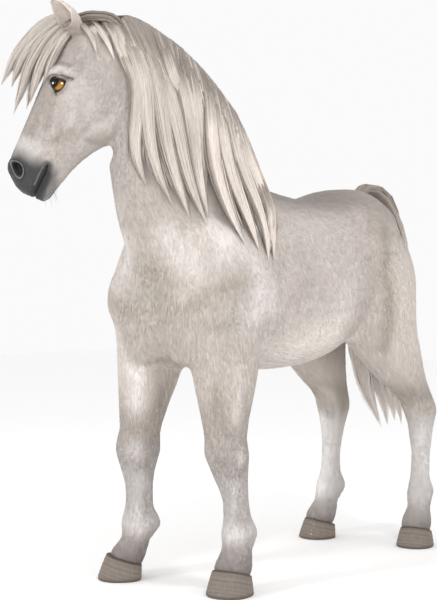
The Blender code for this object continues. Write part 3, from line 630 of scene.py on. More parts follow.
# painted highlights and painted shade within the areas: a line as (x, y, z), how far it reaches, its colour, how
# strongly it covers, and whether the other side has it too
peltMarks = {
    "chestHighlight": (((0.13, -0.57, 1.14), (0.19, -0.55, 1.05)), 0.06, (234, 227, 222), 0.75, True),
    "shoulderHighlight": (((0.25, -0.46, 1.17), (0.27, -0.47, 1.1)), 0.055, (232, 225, 220), 0.65, True),
    "smallHighlight": (((0.17, -0.56, 0.97), (0.17, -0.56, 0.94)), 0.022, (224, 216, 208), 0.7, False),
    "bladeHighlight": (((0.31, -0.33, 0.98), (0.31, -0.35, 0.9)), 0.055, (238, 232, 228), 0.8, True),
    "rearBladeHighlight": (((0.3, -0.27, 0.97), (0.3, -0.27, 0.93)), 0.04, (232, 226, 222), 0.6, True),
    "ribsHighlight": (((0.31, 0.16, 0.96), (0.3, 0.16, 0.87)), 0.065, (228, 219, 213), 0.65, True),
    "upperRibHighlight": (((0.26, -0.09, 1.16), (0.28, 0.03, 1.14)), 0.065, (216, 209, 205), 0.55, True),
    "bellyHighlight": (((0.24, -0.06, 0.77), (0.27, 0.1, 0.81)), 0.085, (250, 242, 234), 0.85, True),
    "edgeHighlight": (((-0.11, -0.55, 1.07), (-0.1, -0.56, 1.0)), 0.03, (222, 214, 208), 0.7, False),
    "chestShade": (((0.04, -0.58, 1.03), (0.13, -0.57, 0.99)), 0.045, (184, 175, 165), 0.75, False),
    "lowShadeFold": (
        ((0.12, -0.57, 0.89), (0.21, -0.56, 0.92), (0.27, -0.54, 0.97), (0.31, -0.43, 1.0)),
        0.028, (186, 177, 167), 0.85, True,
    ),
    "patchShade": (((0.02, -0.57, 0.95), (0.04, -0.57, 0.88)), 0.03, (186, 178, 168), 0.75, False),
    "flankShade": (
        ((0.27, 0.46, 1.2), (0.3, 0.44, 1.0), (0.31, 0.41, 0.85), (0.3, 0.4, 0.77)),
        0.034, (180, 170, 160), 0.85, True,
    ),
    "thighHighlight": (((0.28, 0.55, 1.2), (0.3, 0.54, 1.05)), 0.04, (214, 206, 199), 0.6, True),
    "shadeBehindShoulder": (((0.29, -0.07, 1.09), (0.3, -0.08, 0.98)), 0.06, (198, 190, 183), 0.7, True),
    "ribShadeLine": (((0.28, -0.24, 0.82), (0.29, -0.19, 0.89), (0.3, -0.14, 0.98)), 0.014, (200, 191, 183), 0.7, True),
    "armRightHighlight": (((-0.08, -0.51, 0.7), (-0.07, -0.51, 0.6)), 0.036, (240, 234, 229), 0.85, False),
    "armRightShade": (((-0.03, -0.43, 0.64), (-0.05, -0.44, 0.5)), 0.026, (176, 166, 156), 0.75, False),
    "shadeAboveRightKnee": (((-0.12, -0.5, 0.49), (-0.05, -0.46, 0.5)), 0.022, (180, 169, 159), 0.75, False),
    "rightKneeShadeArc": (
        ((-0.13, -0.5, 0.41), (-0.08, -0.49, 0.385), (-0.05, -0.44, 0.4)),
        0.012, (156, 149, 144), 0.7, False,
    ),
    "kneeRightHighlight": (((-0.08, -0.51, 0.45), (-0.07, -0.51, 0.43)), 0.024, (212, 206, 202), 0.7, False),
    "armLeftHighlight": (((0.3, -0.43, 0.72), (0.29, -0.43, 0.56)), 0.026, (222, 215, 209), 0.75, False),
    "armLeftShade": (((0.25, -0.49, 0.66), (0.24, -0.48, 0.49)), 0.024, (174, 164, 155), 0.8, False),
    "kneeLeftShade": (((0.25, -0.47, 0.43), (0.27, -0.47, 0.42)), 0.02, (160, 153, 148), 0.7, False),
    "kneeLeftHighlight": (((0.3, -0.43, 0.45), (0.3, -0.42, 0.43)), 0.016, (216, 210, 206), 0.75, False),
    "leftKneeShadeBand": (
        ((0.22, -0.46, 0.395), (0.28, -0.44, 0.39), (0.29, -0.39, 0.395)),
        0.012, (156, 148, 143), 0.75, False,
    ),
    "leftCannonHighlight": (((0.28, -0.43, 0.36), (0.27, -0.43, 0.28)), 0.014, (218, 213, 210), 0.65, False),
    "rightCannonHighlight": (((-0.08, -0.48, 0.35), (-0.09, -0.48, 0.27)), 0.022, (226, 221, 218), 0.7, False),
    "hindCannonHighlight": (((-0.1, 0.55, 0.46), (-0.1, 0.55, 0.2)), 0.045, (252, 250, 248), 0.9, False),
    # painted light that offsets the mane's shadow on the shoulder
    "lightUnderMane": (((0.2, -0.52, 1.22), (0.26, -0.43, 1.14), (0.3, -0.33, 1.06)), 0.045, (246, 240, 234), 0.5, False),
    "leftFetlockHighlight": (((0.26, -0.43, 0.19), (0.29, -0.42, 0.19)), 0.024, (228, 223, 221), 0.8, False),
    "rightFetlockHighlight": (((-0.11, -0.48, 0.18), (-0.08, -0.47, 0.17)), 0.024, (226, 221, 219), 0.8, False),
    "hockRightShade": (((-0.09, 0.56, 0.51), (-0.06, 0.57, 0.49)), 0.022, (166, 157, 150), 0.75, False),
    "hockRightHighlight": (((-0.07, 0.51, 0.6), (-0.04, 0.57, 0.55)), 0.016, (212, 203, 195), 0.75, False),
    "rearRightHockShade": (((-0.03, 0.63, 0.54), (-0.03, 0.63, 0.51)), 0.018, (172, 162, 153), 0.75, False),
    "hockLeftShade": (((0.3, 0.62, 0.57), (0.31, 0.67, 0.55)), 0.03, (176, 168, 162), 0.65, False),
}
# how strongly the painted highlights and shade cover
paintedLightStrength = 1.15
# streaks in the coat: how strong, how wide, their seed, and 1 if round or less as they're drawn out downwards
peltStreaks = ((0.018, 0.09, 5, 1), (0.046, 0.03, 6, 0.14), (0.02, 0.014, 8, 0.14))
# heights and colours down the fore and the hind legs
legColours = {
    "fore": (
        (0.06, (134, 126, 122)), (0.08, (141, 133, 130)), (0.12, (152, 145, 141)), (0.16, (186, 179, 175)),
        (0.2, (204, 198, 195)), (0.26, (186, 180, 177)), (0.33, (190, 184, 181)), (0.4, (178, 171, 167)),
        (0.45, (174, 167, 162)), (0.5, (176, 168, 162)), (0.56, (180, 171, 163)), (0.62, (197, 188, 180)),
        (0.75, (203, 194, 186)),
    ),
    "hind": (
        (0.06, (134, 126, 122)), (0.08, (150, 142, 138)), (0.12, (166, 159, 155)), (0.18, (204, 199, 196)),
        (0.3, (222, 218, 216)), (0.44, (220, 215, 212)), (0.52, (194, 185, 177)), (0.58, (178, 168, 159)),
        (0.64, (204, 195, 187)), (0.72, (214, 205, 197)), (0.85, (208, 199, 191)),
    ),
}
# on the head, in its own frame: name: line as (along, up, out), half width, colour, how strongly it covers
# the mark over the orbit and the small light one low on the cheek are painted highlights; the line above the eye, the
# streak down from its inner corner, the arc along the cheek's lower edge and the jaw's mark are painted shade
faceColours = {
    "forehead": (((0.12, 0.1, 0.03), (0.4, 0.14, 0.03)), 0.11, (166, 157, 150), 0.8),
    "nose": (((0.5, 0.13, 0.03), (0.74, 0.14, 0.03)), 0.1, (160, 152, 145), 0.75),
    "temple": (((0.14, 0.06, 0.13), (0.2, 0.01, 0.15), (0.245, -0.02, 0.15)), 0.05, (166, 158, 152), 0.6),
    "templeBack": (((0.22, -0.02, 0.16), (0.25, -0.11, 0.16), (0.253, -0.17, 0.16)), 0.05, (184, 177, 173), 0.6),
    "earFuzz": (((0.095, 0.14, 0.08), (0.076, 0.03, 0.12)), 0.026, (158, 149, 142), 0.6),
    "orbit": (((0.355, 0.105, 0.16), (0.315, 0.07, 0.16), (0.312, 0.015, 0.16)), 0.024, (214, 209, 205), 0.8),
    "shadeAboveEye": (((0.315, 0.13, 0.14), (0.278, 0.082, 0.15), (0.276, 0.018, 0.16)), 0.014, (146, 139, 134), 0.75),
    "paleBehindEye": (
        ((0.385, -0.018, 0.17), (0.46, -0.05, 0.16), (0.555, -0.076, 0.14)),
        0.05, (214, 207, 203), 0.65,
    ),
    "shadeUnderInnerCorner": (((0.45, 0.052, 0.15), (0.528, 0.047, 0.14), (0.64, 0.026, 0.12)), 0.03, (166, 158, 151), 0.65),
    "cheekShadeArc": (((0.463, -0.211, 0.14), (0.395, -0.26, 0.14), (0.33, -0.245, 0.15)), 0.03, (181, 173, 168), 0.6),
    "cheekPale": (((0.36, -0.075, 0.17), (0.43, -0.14, 0.16), (0.526, -0.236, 0.12)), 0.06, (208, 201, 196), 0.6),
    "cheekHighlight": (((0.456, -0.3, 0.12), (0.524, -0.263, 0.12)), 0.028, (216, 209, 203), 0.6),
    "taupePatch": (((0.686, -0.053, 0.11), (0.613, -0.113, 0.12)), 0.036, (172, 163, 154), 0.8),
    "jawShade": (
        ((0.621, -0.205, 0.11), (0.604, -0.287, 0.1), (0.551, -0.33, 0.1), (0.479, -0.35, 0.1)),
        0.022, (156, 147, 140), 0.55,
    ),
    "jawUnder": (((0.79, -0.2, 0.03), (0.69, -0.27, 0.03), (0.59, -0.33, 0.03)), 0.04, (190, 181, 173), 0.7),
    "paleBand": (((0.765, 0.15, 0.05), (0.766, 0.094, 0.09), (0.77, 0.043, 0.1)), 0.05, (206, 202, 198), 0.9),
}
# inside is painted shade in the nostrils and along the mouth's line; rim is a painted highlight round each nostril
muzzleColours = {
    "slate": (66, 67, 68),
    "dark": (46, 46, 48),
    "rim": (150, 150, 148),
    "inside": (22, 21, 22),
    "lip": (128, 126, 125),
}
lipLine = ((0.831, -0.04), (0.9, -0.034), (0.965, -0.03))
headColours = {"face": (190, 182, 176), "ears": (220, 208, 199)}
# rim is the lids' dark edge and also a painted shade line above the upper lid's fold; shade is painted shade round the
# eye, wider over the upper lid; the fold tone is a painted highlight along that fold
lidColours = {"rim": (44, 38, 35), "shade": (120, 112, 106), "highlightOnFold": (150, 142, 139)}


def linear(colour):
    c = np.asarray(colour, float) / 255
    return np.where(c <= 0.04045, c / 12.92, ((c + 0.055) / 1.055) ** 2.4)


def laidOver(under, colour, cover):
    return under + (linear(colour) - under) * np.clip(cover, 0, 1)[:, None]


def layered(under, colours, layers):
    # one colour laid over another: (its name, how much it covers) for each
    for name, cover in layers:
        under = laidOver(under, colours[name], cover)
    return under


def wave(points, scale, seed):
    # soft random spots between -1 and 1, from a few crossing waves
    mixer = np.random.default_rng(seed)
    made = np.zeros(len(points))
    for _ in range(7):
        way = mixer.normal(size=3)
        across = points @ (way / np.linalg.norm(way))
        made += np.sin(across * 2 * math.pi / scale * mixer.uniform(0.7, 1.4) + mixer.uniform(0, 6.3))
    return made / 4


def bodyColour(points):
    # areas blended into each other, then the legs and the painted highlights and shade
    made = np.tile(linear(peltBase["colour"]) * peltBase["weight"], (len(points), 1))
    total = np.full(len(points), peltBase["weight"])
    for line, reach, colour in peltAreas.values():
        share = np.exp(-(fromPath(points, line) / reach) ** 2)
        made += linear(colour) * share[:, None]
        total += share
    made /= total[:, None]
    legs = 1 - easeIn(points[:, 2], 0.58, 0.8)
    fore = easeIn(-points[:, 1], -0.15, 0.15)
    for kind, share in (("fore", fore), ("hind", 1 - fore)):
        heights, colours = zip(*legColours[kind])
        down = between(points[:, 2], heights, [linear(colour) for colour in colours])
        left = np.maximum(1 - legs * fore * (kind == "hind"), 0.05)
        made += (down - made) * (legs * share / left)[:, None]
    for line, reach, colour, cover, both in peltMarks.values():
        path = smoothPath(line, 6)
        for side in (1, -1) if both else (1,):
            own = np.stack([middleX + side * (path[:, 0] - middleX), path[:, 1], path[:, 2]], axis=1)
            near = aboutPath(points, own, 2.2 * reach)
            gap = fromPath(points[near], own)
            made[near] = laidOver(made[near], colour, paintedLightStrength * cover * np.exp(-((gap / reach) ** 2)))
    return made


def withMuzzle(made, place, onIt):
    # the dark muzzle, the mouth and the nostrils, with painted shade inside the nostrils and along the mouth's line
    # and a painted highlight round each nostril's rim
    t = place[:, 0]
    front = onIt * (t > 0.8)
    lipGap = fromPath(place[:, :2], mouth["line"])
    lip = bump(fromPath(place[:, :2], lipLine) / 0.006)
    rim = nostrilSpot(place)
    here = front * (place[:, 2] > 0.02)
    return layered(made, muzzleColours, (
        ("dark", front * 0.8 * (1 - easeIn(lipGap, 0.012, 0.045))),
        ("lip", onIt * (t > 0.81) * (t < 1.02) * 0.7 * lip),
        ("inside", onIt * (t > 0.81) * (1 - easeIn(lipGap, 0.003, 0.008))),
        ("dark", here * 0.6 * (1 - easeIn(rim, 1.1, 1.9))),
        ("rim", here * 0.65 * bump((rim - 1.14) / 0.12)),
        ("inside", here * (1 - easeIn(rim, 0.8, 1.02))),
    ))


def withLids(made, points, side):
    # dark lids round an eye, painted shade about them that reaches wider over the upper lid, a painted highlight along
    # the upper lid's fold with a line of painted shade above it, and the marks at its corners
    x, y, z, inside = eyeSpot(points, side)
    flat = np.stack([x, y], axis=1)
    near = (z > -0.01) & (np.hypot(x, y) < 0.2)
    upper = easeIn(lidLift(x, y) + 0.45 * y, 0.0, 0.035)
    inner = fromPath(flat, ((0.034, -0.018), (0.054, -0.024)))
    outer = fromPath(flat, ((-0.042, -0.01), (-0.06, -0.026)))
    return layered(made, lidColours, (
        ("shade", near * 0.5 * (1 - easeIn(-inside, 0.008 + 0.02 * upper, 0.026 + 0.028 * upper))),
        ("rim", near * (1 - easeIn(-inside, 0.004 + 0.006 * upper, 0.009 + 0.006 * upper))),
        # painted highlight along the upper lid's fold, and a line of painted shade above it
        ("highlightOnFold", near * upper * 0.75 * bump((-inside - 0.02) / 0.006)),
        ("rim", near * upper * 0.75 * bump((-inside - 0.03) / 0.008)),
        ("rim", near * 0.55 * (1 - easeIn(inner, 0.002, 0.011))),
        ("rim", near * 0.45 * (1 - easeIn(outer, 0.001, 0.01))),
    ))


def peltColour(points):
    made = bodyColour(points)
    t, u, o = headCoords(points).T
    place = np.stack([t, u, np.abs(o)], axis=1)
    loose = np.array([1, 1, 0.12])  # how far out a mark lies matters little
    onIt = regionWeights(points)["head"]
    ears = easeIn(points[:, 2], 1.785, 1.81)
    made = layered(made, headColours, (("face", onIt), ("ears", ears)))
    for line, width, colour, cover in faceColours.values():
        gap = fromPath(place * loose, np.array(line) * loose)
        made = laidOver(made, colour, onIt * cover * (1 - easeIn(gap, 0.25 * width, 1.25 * width)))
    spots = wave(points, 0.05, 3)
    slate = easeIn(t + 0.01 * spots, 0.785, 0.885) * easeIn(u + 0.01 * spots, -0.145, -0.085)
    slate = np.maximum(slate, easeIn(t, 0.84, 0.9) * easeIn(u + 0.25 * (t - 0.9), -0.17, -0.12) * 0.55)
    made = withMuzzle(laidOver(made, muzzleColours["slate"], onIt * slate), place, onIt)
    for side in (1, -1):
        made = withLids(made, points, side)
    streaks = 0
    for share, size, seed, tall in peltStreaks:
        streaks = streaks + share * wave(points * np.array([1, 1, tall]), size, seed)
    rough = 1 - 0.7 * onIt
    return np.clip(made * (1 + rough * streaks)[:, None], 0.003, 0.95) * peltTint


def dye(obj, name, colours):
    # a colour for each point, kept with the piece
    made = obj.data.color_attributes.new(name=name, type="FLOAT_COLOR", domain="POINT")
    rows = np.hstack([colours, np.ones((len(colours), 1))])
    made.data.foreach_set("color", rows.astype(np.float32).ravel())


# the skin unwrapped: each part of the body laid flat from six sides, side by side on one sheet

wrapParts = ("head", "earLeft", "earRight", "neck", "trunk", "foreLeft", "foreRight", "hindLeft", "hindRight")
wrapWays = np.array([[1, 0, 0], [-1, 0, 0], [0, 1, 0], [0, -1, 0], [0, 0, 1], [0, 0, -1]], float)
wrapPlaces = {}


def wrapPart(points):
    o = headCoords(points)[:, 2]
    part = np.full(len(points), 4)
    part[(points[:, 1] < -0.3) & (points[:, 2] > 1.02)] = 3
    part[regionWeights(points)["head"] > 0.5] = 0
    part[(points[:, 2] > 1.795) & (o > 0)] = 1
    part[(points[:, 2] > 1.795) & (o <= 0)] = 2
    number = limbOf(points)
    return np.where(number >= 0, number + 5, part)


def wrapTurn(part):
    # the head is laid flat along its own axes, the rest along the floor's
    return headAxes if part in (0, 1, 2) else np.eye(3)


def wrapFlat(points, part, way):
    # places on the flat of one side
    q = points @ wrapTurn(part).T
    axis = way // 2
    return np.delete(q, axis, axis=1)


def planWrap(points, normals):
    # the room each part's sides take, and where they go on the sheet
    part = wrapPart(points)
    boxes = []
    for p in range(len(wrapParts)):
        way = np.argmax((normals @ wrapTurn(p).T) @ wrapWays.T, axis=1)
        for w in range(6):
            own = (part == p) & (way == w)
            if own.sum() < 3:
                continue
            flat = wrapFlat(points[own], p, w)
            low, high = flat.min(axis=0) - 0.012, flat.max(axis=0) + 0.012
            boxes.append((p, w, low, high - low))
    boxes.sort(key=lambda b: -b[3][1])
    scale = 0.5
    while True:
        x = y = tall = 0.0
        wrapPlaces.clear()
        for p, w, low, size in boxes:
            wide, high = size * scale
            if x + wide > 1:
                x, y, tall = 0.0, y + tall, 0.0
            wrapPlaces[(p, w)] = (low, x, y)
            x, tall = x + wide, max(tall, high)
        if y + tall <= 1:
            break
        scale *= 0.97
    wrapPlaces["scale"] = scale


def wrapped(points, part, way):
    # where points lie on the sheet
    made = np.zeros((len(points), 2))
    for p in range(len(wrapParts)):
        for w in range(6):
            own = (part == p) & (way == w)
            if not own.any() or (p, w) not in wrapPlaces:
                continue
            low, x, y = wrapPlaces[(p, w)]
            made[own] = (wrapFlat(points[own], p, w) - low) * wrapPlaces["scale"] + np.array([x, y])
    return made


def wrapWay(normals, part):
    way = np.zeros(len(normals), int)
    for p in range(len(wrapParts)):
        own = part == p
        if own.any():
            way[own] = np.argmax((normals[own] @ wrapTurn(p).T) @ wrapWays.T, axis=1)
    return way


def unwrapSkin(skin):
    mesh = skin.data
    middles, normals = readOut(mesh.polygons, "center"), readOut(mesh.polygons, "normal")
    planWrap(middles, normals)
    part = wrapPart(middles)
    way = wrapWay(normals, part)
    corners = readNumbers(mesh.loops, "vertex_index")
    sides = readNumbers(mesh.polygons, "loop_total")
    places = wrapped(pointsOf(skin)[corners], np.repeat(part, sides), np.repeat(way, sides))
    bakeMap(skin, places)


inEdit(skin, "FACE")
bpy.ops.mesh.select_all(action="SELECT")
bpy.ops.mesh.quads_convert_to_tris()
outOfEdit()
unwrapSkin(skin)
dye(skin, "pelt", peltColour(pointsOf(skin)))
print("skin dyed", len(skin.data.polygons))


# materials

def setInputs(node, values):
    for key, value in values.items():
        node.inputs[key].default_value = value


def added(nodes, kind, place, inputs=None, **settings):
    made = nodes.new(kind)
    made.location = place
    for key, value in settings.items():
        setattr(made, key, value)
    setInputs(made, inputs or {})
    return made


# each: fineness of the streaks across and along, how much they darken and lighten, bump in metres, gloss
surfaces = {
    "skin": {"fine": (420, 420, 70), "streak": (0.93, 1.06), "bump": 0.0004, "roughness": 0.62, "sheen": 0.12},
    "coat": {"fine": (420, 420, 70), "streak": (0.94, 1.06), "bump": 0.0002, "roughness": 0.6, "sheen": 0.1},
    "hair": {"fine": (300, 300, 26), "streak": (0.82, 1.12), "bump": 0.001, "roughness": 0.5, "sheen": 0.1},
    "eye": {"fine": (900, 900, 900), "streak": (0.95, 1.05), "bump": 0.0001, "roughness": 0.35, "sheen": 0.0},
    "hoof": {"fine": (500, 500, 60), "streak": (0.9, 1.06), "bump": 0.0001, "roughness": 0.55, "sheen": 0.0},
}
wetness = {"eye": 0.4, "hoof": 0.08}


def pelted(name, settings):
    # a coat of hair dyed with the piece's own colours, streaked along the hair
    material = bpy.data.materials.new(name)
    material.use_nodes = True
    nodes, links = material.node_tree.nodes, material.node_tree.links
    shader = nodes["Principled BSDF"]
    dark, light = settings["streak"]
    spreading = {"From Min": 0.28, "From Max": 0.72, "To Min": dark, "To Max": light}
    dyeNode = added(nodes, "ShaderNodeAttribute", (-900, 200), attribute_name="pelt")
    spot = added(nodes, "ShaderNodeTexCoord", (-1300, -100))
    stretch = added(nodes, "ShaderNodeMapping", (-1100, -100), {"Scale": settings["fine"]})
    noise = added(nodes, "ShaderNodeTexNoise", (-900, -100), {"Scale": 1.0, "Detail": 3.0, "Roughness": 0.6})
    spread = added(nodes, "ShaderNodeMapRange", (-700, -100), spreading)
    mixed = added(nodes, "ShaderNodeVectorMath", (-480, 150), operation="SCALE")
    raised = added(nodes, "ShaderNodeBump", (-480, -200), {"Distance": settings["bump"], "Strength": 0.6})
    for start, out, end, into in (
        (spot, "Object", stretch, "Vector"),
        (stretch, "Vector", noise, "Vector"),
        (noise, "Fac", spread, "Value"),
        (dyeNode, "Color", mixed, 0),
        (spread, "Result", mixed, "Scale"),
        (mixed, "Vector", shader, "Base Color"),
        (noise, "Fac", raised, "Height"),
        (raised, "Normal", shader, "Normal"),
    ):
        links.new(start.outputs[out], end.inputs[into])
    own = {"Roughness": settings["roughness"], "Sheen Weight": settings["sheen"], "Specular IOR Level": 0.25}
    setInputs(shader, own)
    return material


skinPaint = pelted("skinPaint", surfaces["skin"])
coatPaint = pelted("coatPaint", surfaces["coat"])
hairPaint = pelted("hairPaint", surfaces["hair"])
skin.data.materials.append(skinPaint)

# long hair: locks of fine strands, each strand a closed taper of three sides

fromLeft = np.array([0.642, -0.767, 0.0])  # the mane falls on this side
fromRear = np.array([0.767, 0.642, 0.0])
hairSizes = {"points": 15, "width": 0.0042, "thick": 0.0018, "strands": 1.35}
# gap is painted shade between and under the locks; low is pale as painted light on the tail's lower part, which hangs
# in shade
hairTones = {
    "root": (146, 137, 129),
    "middle": (207, 198, 189),
    "tip": (222, 213, 205),
    "bright": (226, 218, 210),
    "gap": (132, 122, 113),
    "tailTop": (145, 135, 127),
    "low": (251, 245, 239),
}


def unit(v):
    return v / np.maximum(np.linalg.norm(v, axis=-1, keepdims=True), 1e-9)


def setNormals(obj, normals):
    # short hair is lit as the skin it lies on, not as each thin tuft
    obj.data.normals_split_custom_set_from_vertices(normals.astype(np.float32))


def strandPiece(name, lines, outs, width, thick, colours):
    count, rings = lines.shape[:2]
    along = unit(np.gradient(lines, axis=1))
    side = unit(np.cross(along, outs))
    out = np.cross(side, along)
    s = np.linspace(0, 1, rings)[None, :, None]
    taper = (0.55 + 0.45 * np.clip(s / 0.2, 0, 1)) * np.clip(1 - s**4, 0, 1) ** 0.7 + 0.06
    w, h = width[:, None, None] * taper, thick * taper
    corners = np.stack([lines - side * w / 2, lines + side * w / 2, lines + out * h], axis=2)
    points = corners.reshape(-1, 3)
    base = (np.arange(count)[:, None] * rings + np.arange(rings - 1)[None, :]).reshape(-1) * 3
    faces = []
    for k in range(3):
        a, b = base + k, base + (k + 1) % 3
        faces += [np.stack([a, b + 3, b], axis=1), np.stack([a, a + 3, b + 3], axis=1)]
    first = np.arange(count) * rings * 3
    last = first + (rings - 1) * 3
    faces += [np.stack([first, first + 1, first + 2], axis=1), np.stack([last, last + 2, last + 1], axis=1)]
    obj = meshPiece(name, points, np.concatenate(faces))
    colours = np.repeat(colours, 3, axis=1).reshape(-1, 3)
    dye(obj, "pelt", colours / np.maximum(colours.max(axis=1, keepdims=True) / 0.95, 1))  # none paler than white hair
    cells = math.ceil(math.sqrt(count))
    cell = np.arange(count)
    u = (cell % cells)[:, None, None] + 0.15 + 0.7 * np.array([0.0, 1.0, 0.5])[None, None, :]
    v = (cell // cells)[:, None, None] + 0.06 + 0.88 * s + 0 * u
    sheet = np.stack([u + 0 * v, v], axis=-1).reshape(-1, 2) / cells
    corner = readNumbers(obj.data.loops, "vertex_index")
    bakeMap(obj, sheet[corner])
    obj.data.materials.append(hairPaint)
    lean = unit(np.stack([-side * 0.55 + outs, side * 0.55 + outs, out * 0.3 + outs], axis=2)).reshape(-1, 3)
    lit = lean[corner]
    under = 2 * 3 * len(base)  # corners of the strands' inner side, lit from behind the lock
    inner = np.repeat(outs, 3, axis=1).reshape(-1, 3)[corner[:under]]
    lit[:under] -= 2 * inner * np.einsum("ij,ij->i", lit[:under], inner)[:, None]
    obj.data.normals_split_custom_set(lit.astype(np.float32))
    return obj


def cut(path, share):
    # the first part of a smooth path, with the same number of points
    at = np.linspace(0, share, len(path)) * (len(path) - 1)
    return between(at, np.arange(len(path)), path)


def lockWidth(s, share, full=2.6):
    # how a lock swells below its root and draws in to a point
    swell = share + (1 - share) * np.sin(np.clip(s / 0.5, 0, 1) * math.pi / 2)
    return swell * np.clip(1 - s**full, 0, 1) ** 0.85 + 0.03


def freeLock(rows, count, wide, thick, across, full, tones):
    # strands of a lock that hangs free: its middle line, half width, half thickness and the way it is wide
    rings = hairSizes["points"]
    middle = smoothPath(rows, rings * 2)
    s = np.linspace(0, 1, rings)
    turn, reach = rng.uniform(0, 2 * math.pi, count), np.sqrt(rng.uniform(0.05, 1, count))
    v, w = np.cos(turn) * reach, np.sin(turn) * reach
    lines, outs, tint = [], [], []
    for k in range(count):
        own = cut(middle, rng.uniform(0.86, 1.0) if reach[k] > 0.5 else rng.uniform(0.93, 1.0))
        own = own[np.linspace(0, len(own) - 1, rings).astype(int)]
        way = unit(np.gradient(own, axis=0))
        flat = unit(across - way * (way @ across)[:, None])
        deep = np.cross(way, flat)
        swell = lockWidth(s, 0.45, full)[:, None]
        curl = 0.1 * np.sin(s * rng.uniform(5, 9) + rng.uniform(0, 6.3))[:, None] * s[:, None]
        lines.append(own + (flat * (v[k] + curl) * wide + deep * (w[k] + curl) * thick) * swell)
        outs.append(unit(flat * v[k] / wide + deep * w[k] / thick + 1e-6))
        tint.append(toned(s, reach[k], tones))
    return np.array(lines), np.array(outs), np.array(tint)


def toned(s, outer, tones, dark=0.0):
    # the colours down one strand; inner strands are darker as painted shade, and dark mixes in the gap's painted shade
    stops = np.array([linear(hairTones[tone]) for tone in tones])
    own = between(s, np.linspace(0, 1, len(stops)), stops)
    if rng.uniform() < 0.16:
        own = own + (linear(hairTones["bright"]) - own) * 0.6 * np.clip(s * 3, 0, 1)[:, None]
    own = own * (0.78 + 0.22 * easeIn(np.array(outer), 0.15, 0.8)) * rng.uniform(0.94, 1.05)
    return (own + (linear(hairTones["gap"]) - own) * dark) * peltTint


# locks of the mane as it lies on the left: places back along the neck and heights, half width in the middle,
# how far it stands out, and its strands
maneLocks = {
    "wispEar": (((-0.56, 1.83), (-0.53, 1.8), (-0.51, 1.76), (-0.5, 1.715)), 0.012, 0.2, 26),
    "wispOne": (((-0.537, 1.852), (-0.505, 1.819), (-0.469, 1.764), (-0.443, 1.696)), 0.013, 0.3, 34),
    "wispTwo": (((-0.498, 1.858), (-0.462, 1.815), (-0.44, 1.765), (-0.432, 1.712)), 0.013, 0.3, 34),
    "zero": (((-0.492, 1.862), (-0.446, 1.8), (-0.405, 1.7), (-0.374, 1.6), (-0.37, 1.52)), 0.03, 0.1, 90),
    "one": (
        ((-0.448, 1.839), (-0.396, 1.717), (-0.351, 1.612), (-0.369, 1.527), (-0.385, 1.453), (-0.38, 1.385),
         (-0.339, 1.293)),
        0.036, 0.75, 110,
    ),
    "two": (
        ((-0.422, 1.834), (-0.369, 1.717), (-0.327, 1.606), (-0.338, 1.522), (-0.327, 1.437), (-0.316, 1.364),
         (-0.258, 1.234)),
        0.034, 0.9, 110,
    ),
    "three": (
        ((-0.38, 1.812), (-0.327, 1.707), (-0.295, 1.596), (-0.285, 1.501), (-0.279, 1.427), (-0.253, 1.337),
         (-0.2, 1.184)),
        0.034, 0.7, 110,
    ),
    "four": (
        ((-0.343, 1.797), (-0.306, 1.691), (-0.269, 1.596), (-0.242, 1.501), (-0.227, 1.416), (-0.206, 1.311),
         (-0.147, 1.171)),
        0.034, 0.9, 120,
    ),
    "five": (((-0.301, 1.786), (-0.266, 1.68), (-0.237, 1.585), (-0.206, 1.511), (-0.163, 1.427)), 0.022, 1.1, 70),
    "six": (
        ((-0.248, 1.754), (-0.232, 1.665), (-0.206, 1.575), (-0.19, 1.469), (-0.184, 1.364), (-0.147, 1.205)),
        0.036, 0.8, 120,
    ),
    "seven": (
        ((-0.211, 1.717), (-0.19, 1.638), (-0.174, 1.554), (-0.166, 1.469), (-0.163, 1.39), (-0.153, 1.3)),
        0.028, 0.6, 90,
    ),
    "eight": (
        ((-0.164, 1.688), (-0.137, 1.611), (-0.131, 1.513), (-0.131, 1.431), (-0.115, 1.332), (-0.077, 1.223),
         (-0.027, 1.113)),
        0.034, 0.9, 110,
    ),
    "nine": (
        ((-0.131, 1.65), (-0.104, 1.567), (-0.093, 1.474), (-0.077, 1.376), (-0.044, 1.278), (-0.006, 1.185),
         (0.019, 1.092)),
        0.032, 0.8, 110,
    ),
    "ten": (
        ((-0.093, 1.6), (-0.066, 1.518), (-0.049, 1.431), (-0.022, 1.343), (0.016, 1.267), (0.044, 1.19),
         (0.049, 1.064)),
        0.032, 0.9, 110,
    ),
    "eleven": (
        ((-0.06, 1.567), (-0.038, 1.496), (-0.017, 1.42), (0.011, 1.343), (0.049, 1.278), (0.068, 1.201),
         (0.068, 1.059)),
        0.03, 0.8, 110,
    ),
}
maneSizes = {
    "steps": 40,  # points along the middle of a lock
    "under": 760,  # wide strands below the locks
    "closing": 340,  # strands behind the last lock, down to the withers
    "onNeck": hairSizes["points"] - 3,  # a strand's points below the crest
    "closingFrom": (1.26, 1.56),  # heights between which the closing strands start
    "closingTo": 1.1,
    "lockWide": (0.7, 1.25),  # a strand's width in parts of the usual, from and to
    "underWide": (1.6, 2.8),
    "closingWide": (1.6, 2.6),
}
# the line the mane grows from: places back along the neck, and the place itself
crestLine = (
    (-0.52, (-0.13, -0.655, 1.845)), (-0.451, (-0.097, -0.587, 1.821)), (-0.385, (-0.055, -0.534, 1.789)),
    (-0.331, (-0.021, -0.49, 1.747)), (-0.276, (0.01, -0.442, 1.702)), (-0.224, (0.037, -0.393, 1.653)),
    (-0.178, (0.058, -0.347, 1.599)), (-0.135, (0.075, -0.301, 1.539)), (-0.102, (0.085, -0.261, 1.469)),
    (-0.06, (0.09, -0.205, 1.38)),
)


def crestAt(back):
    backs, places = zip(*crestLine)
    return between(back, backs, places)


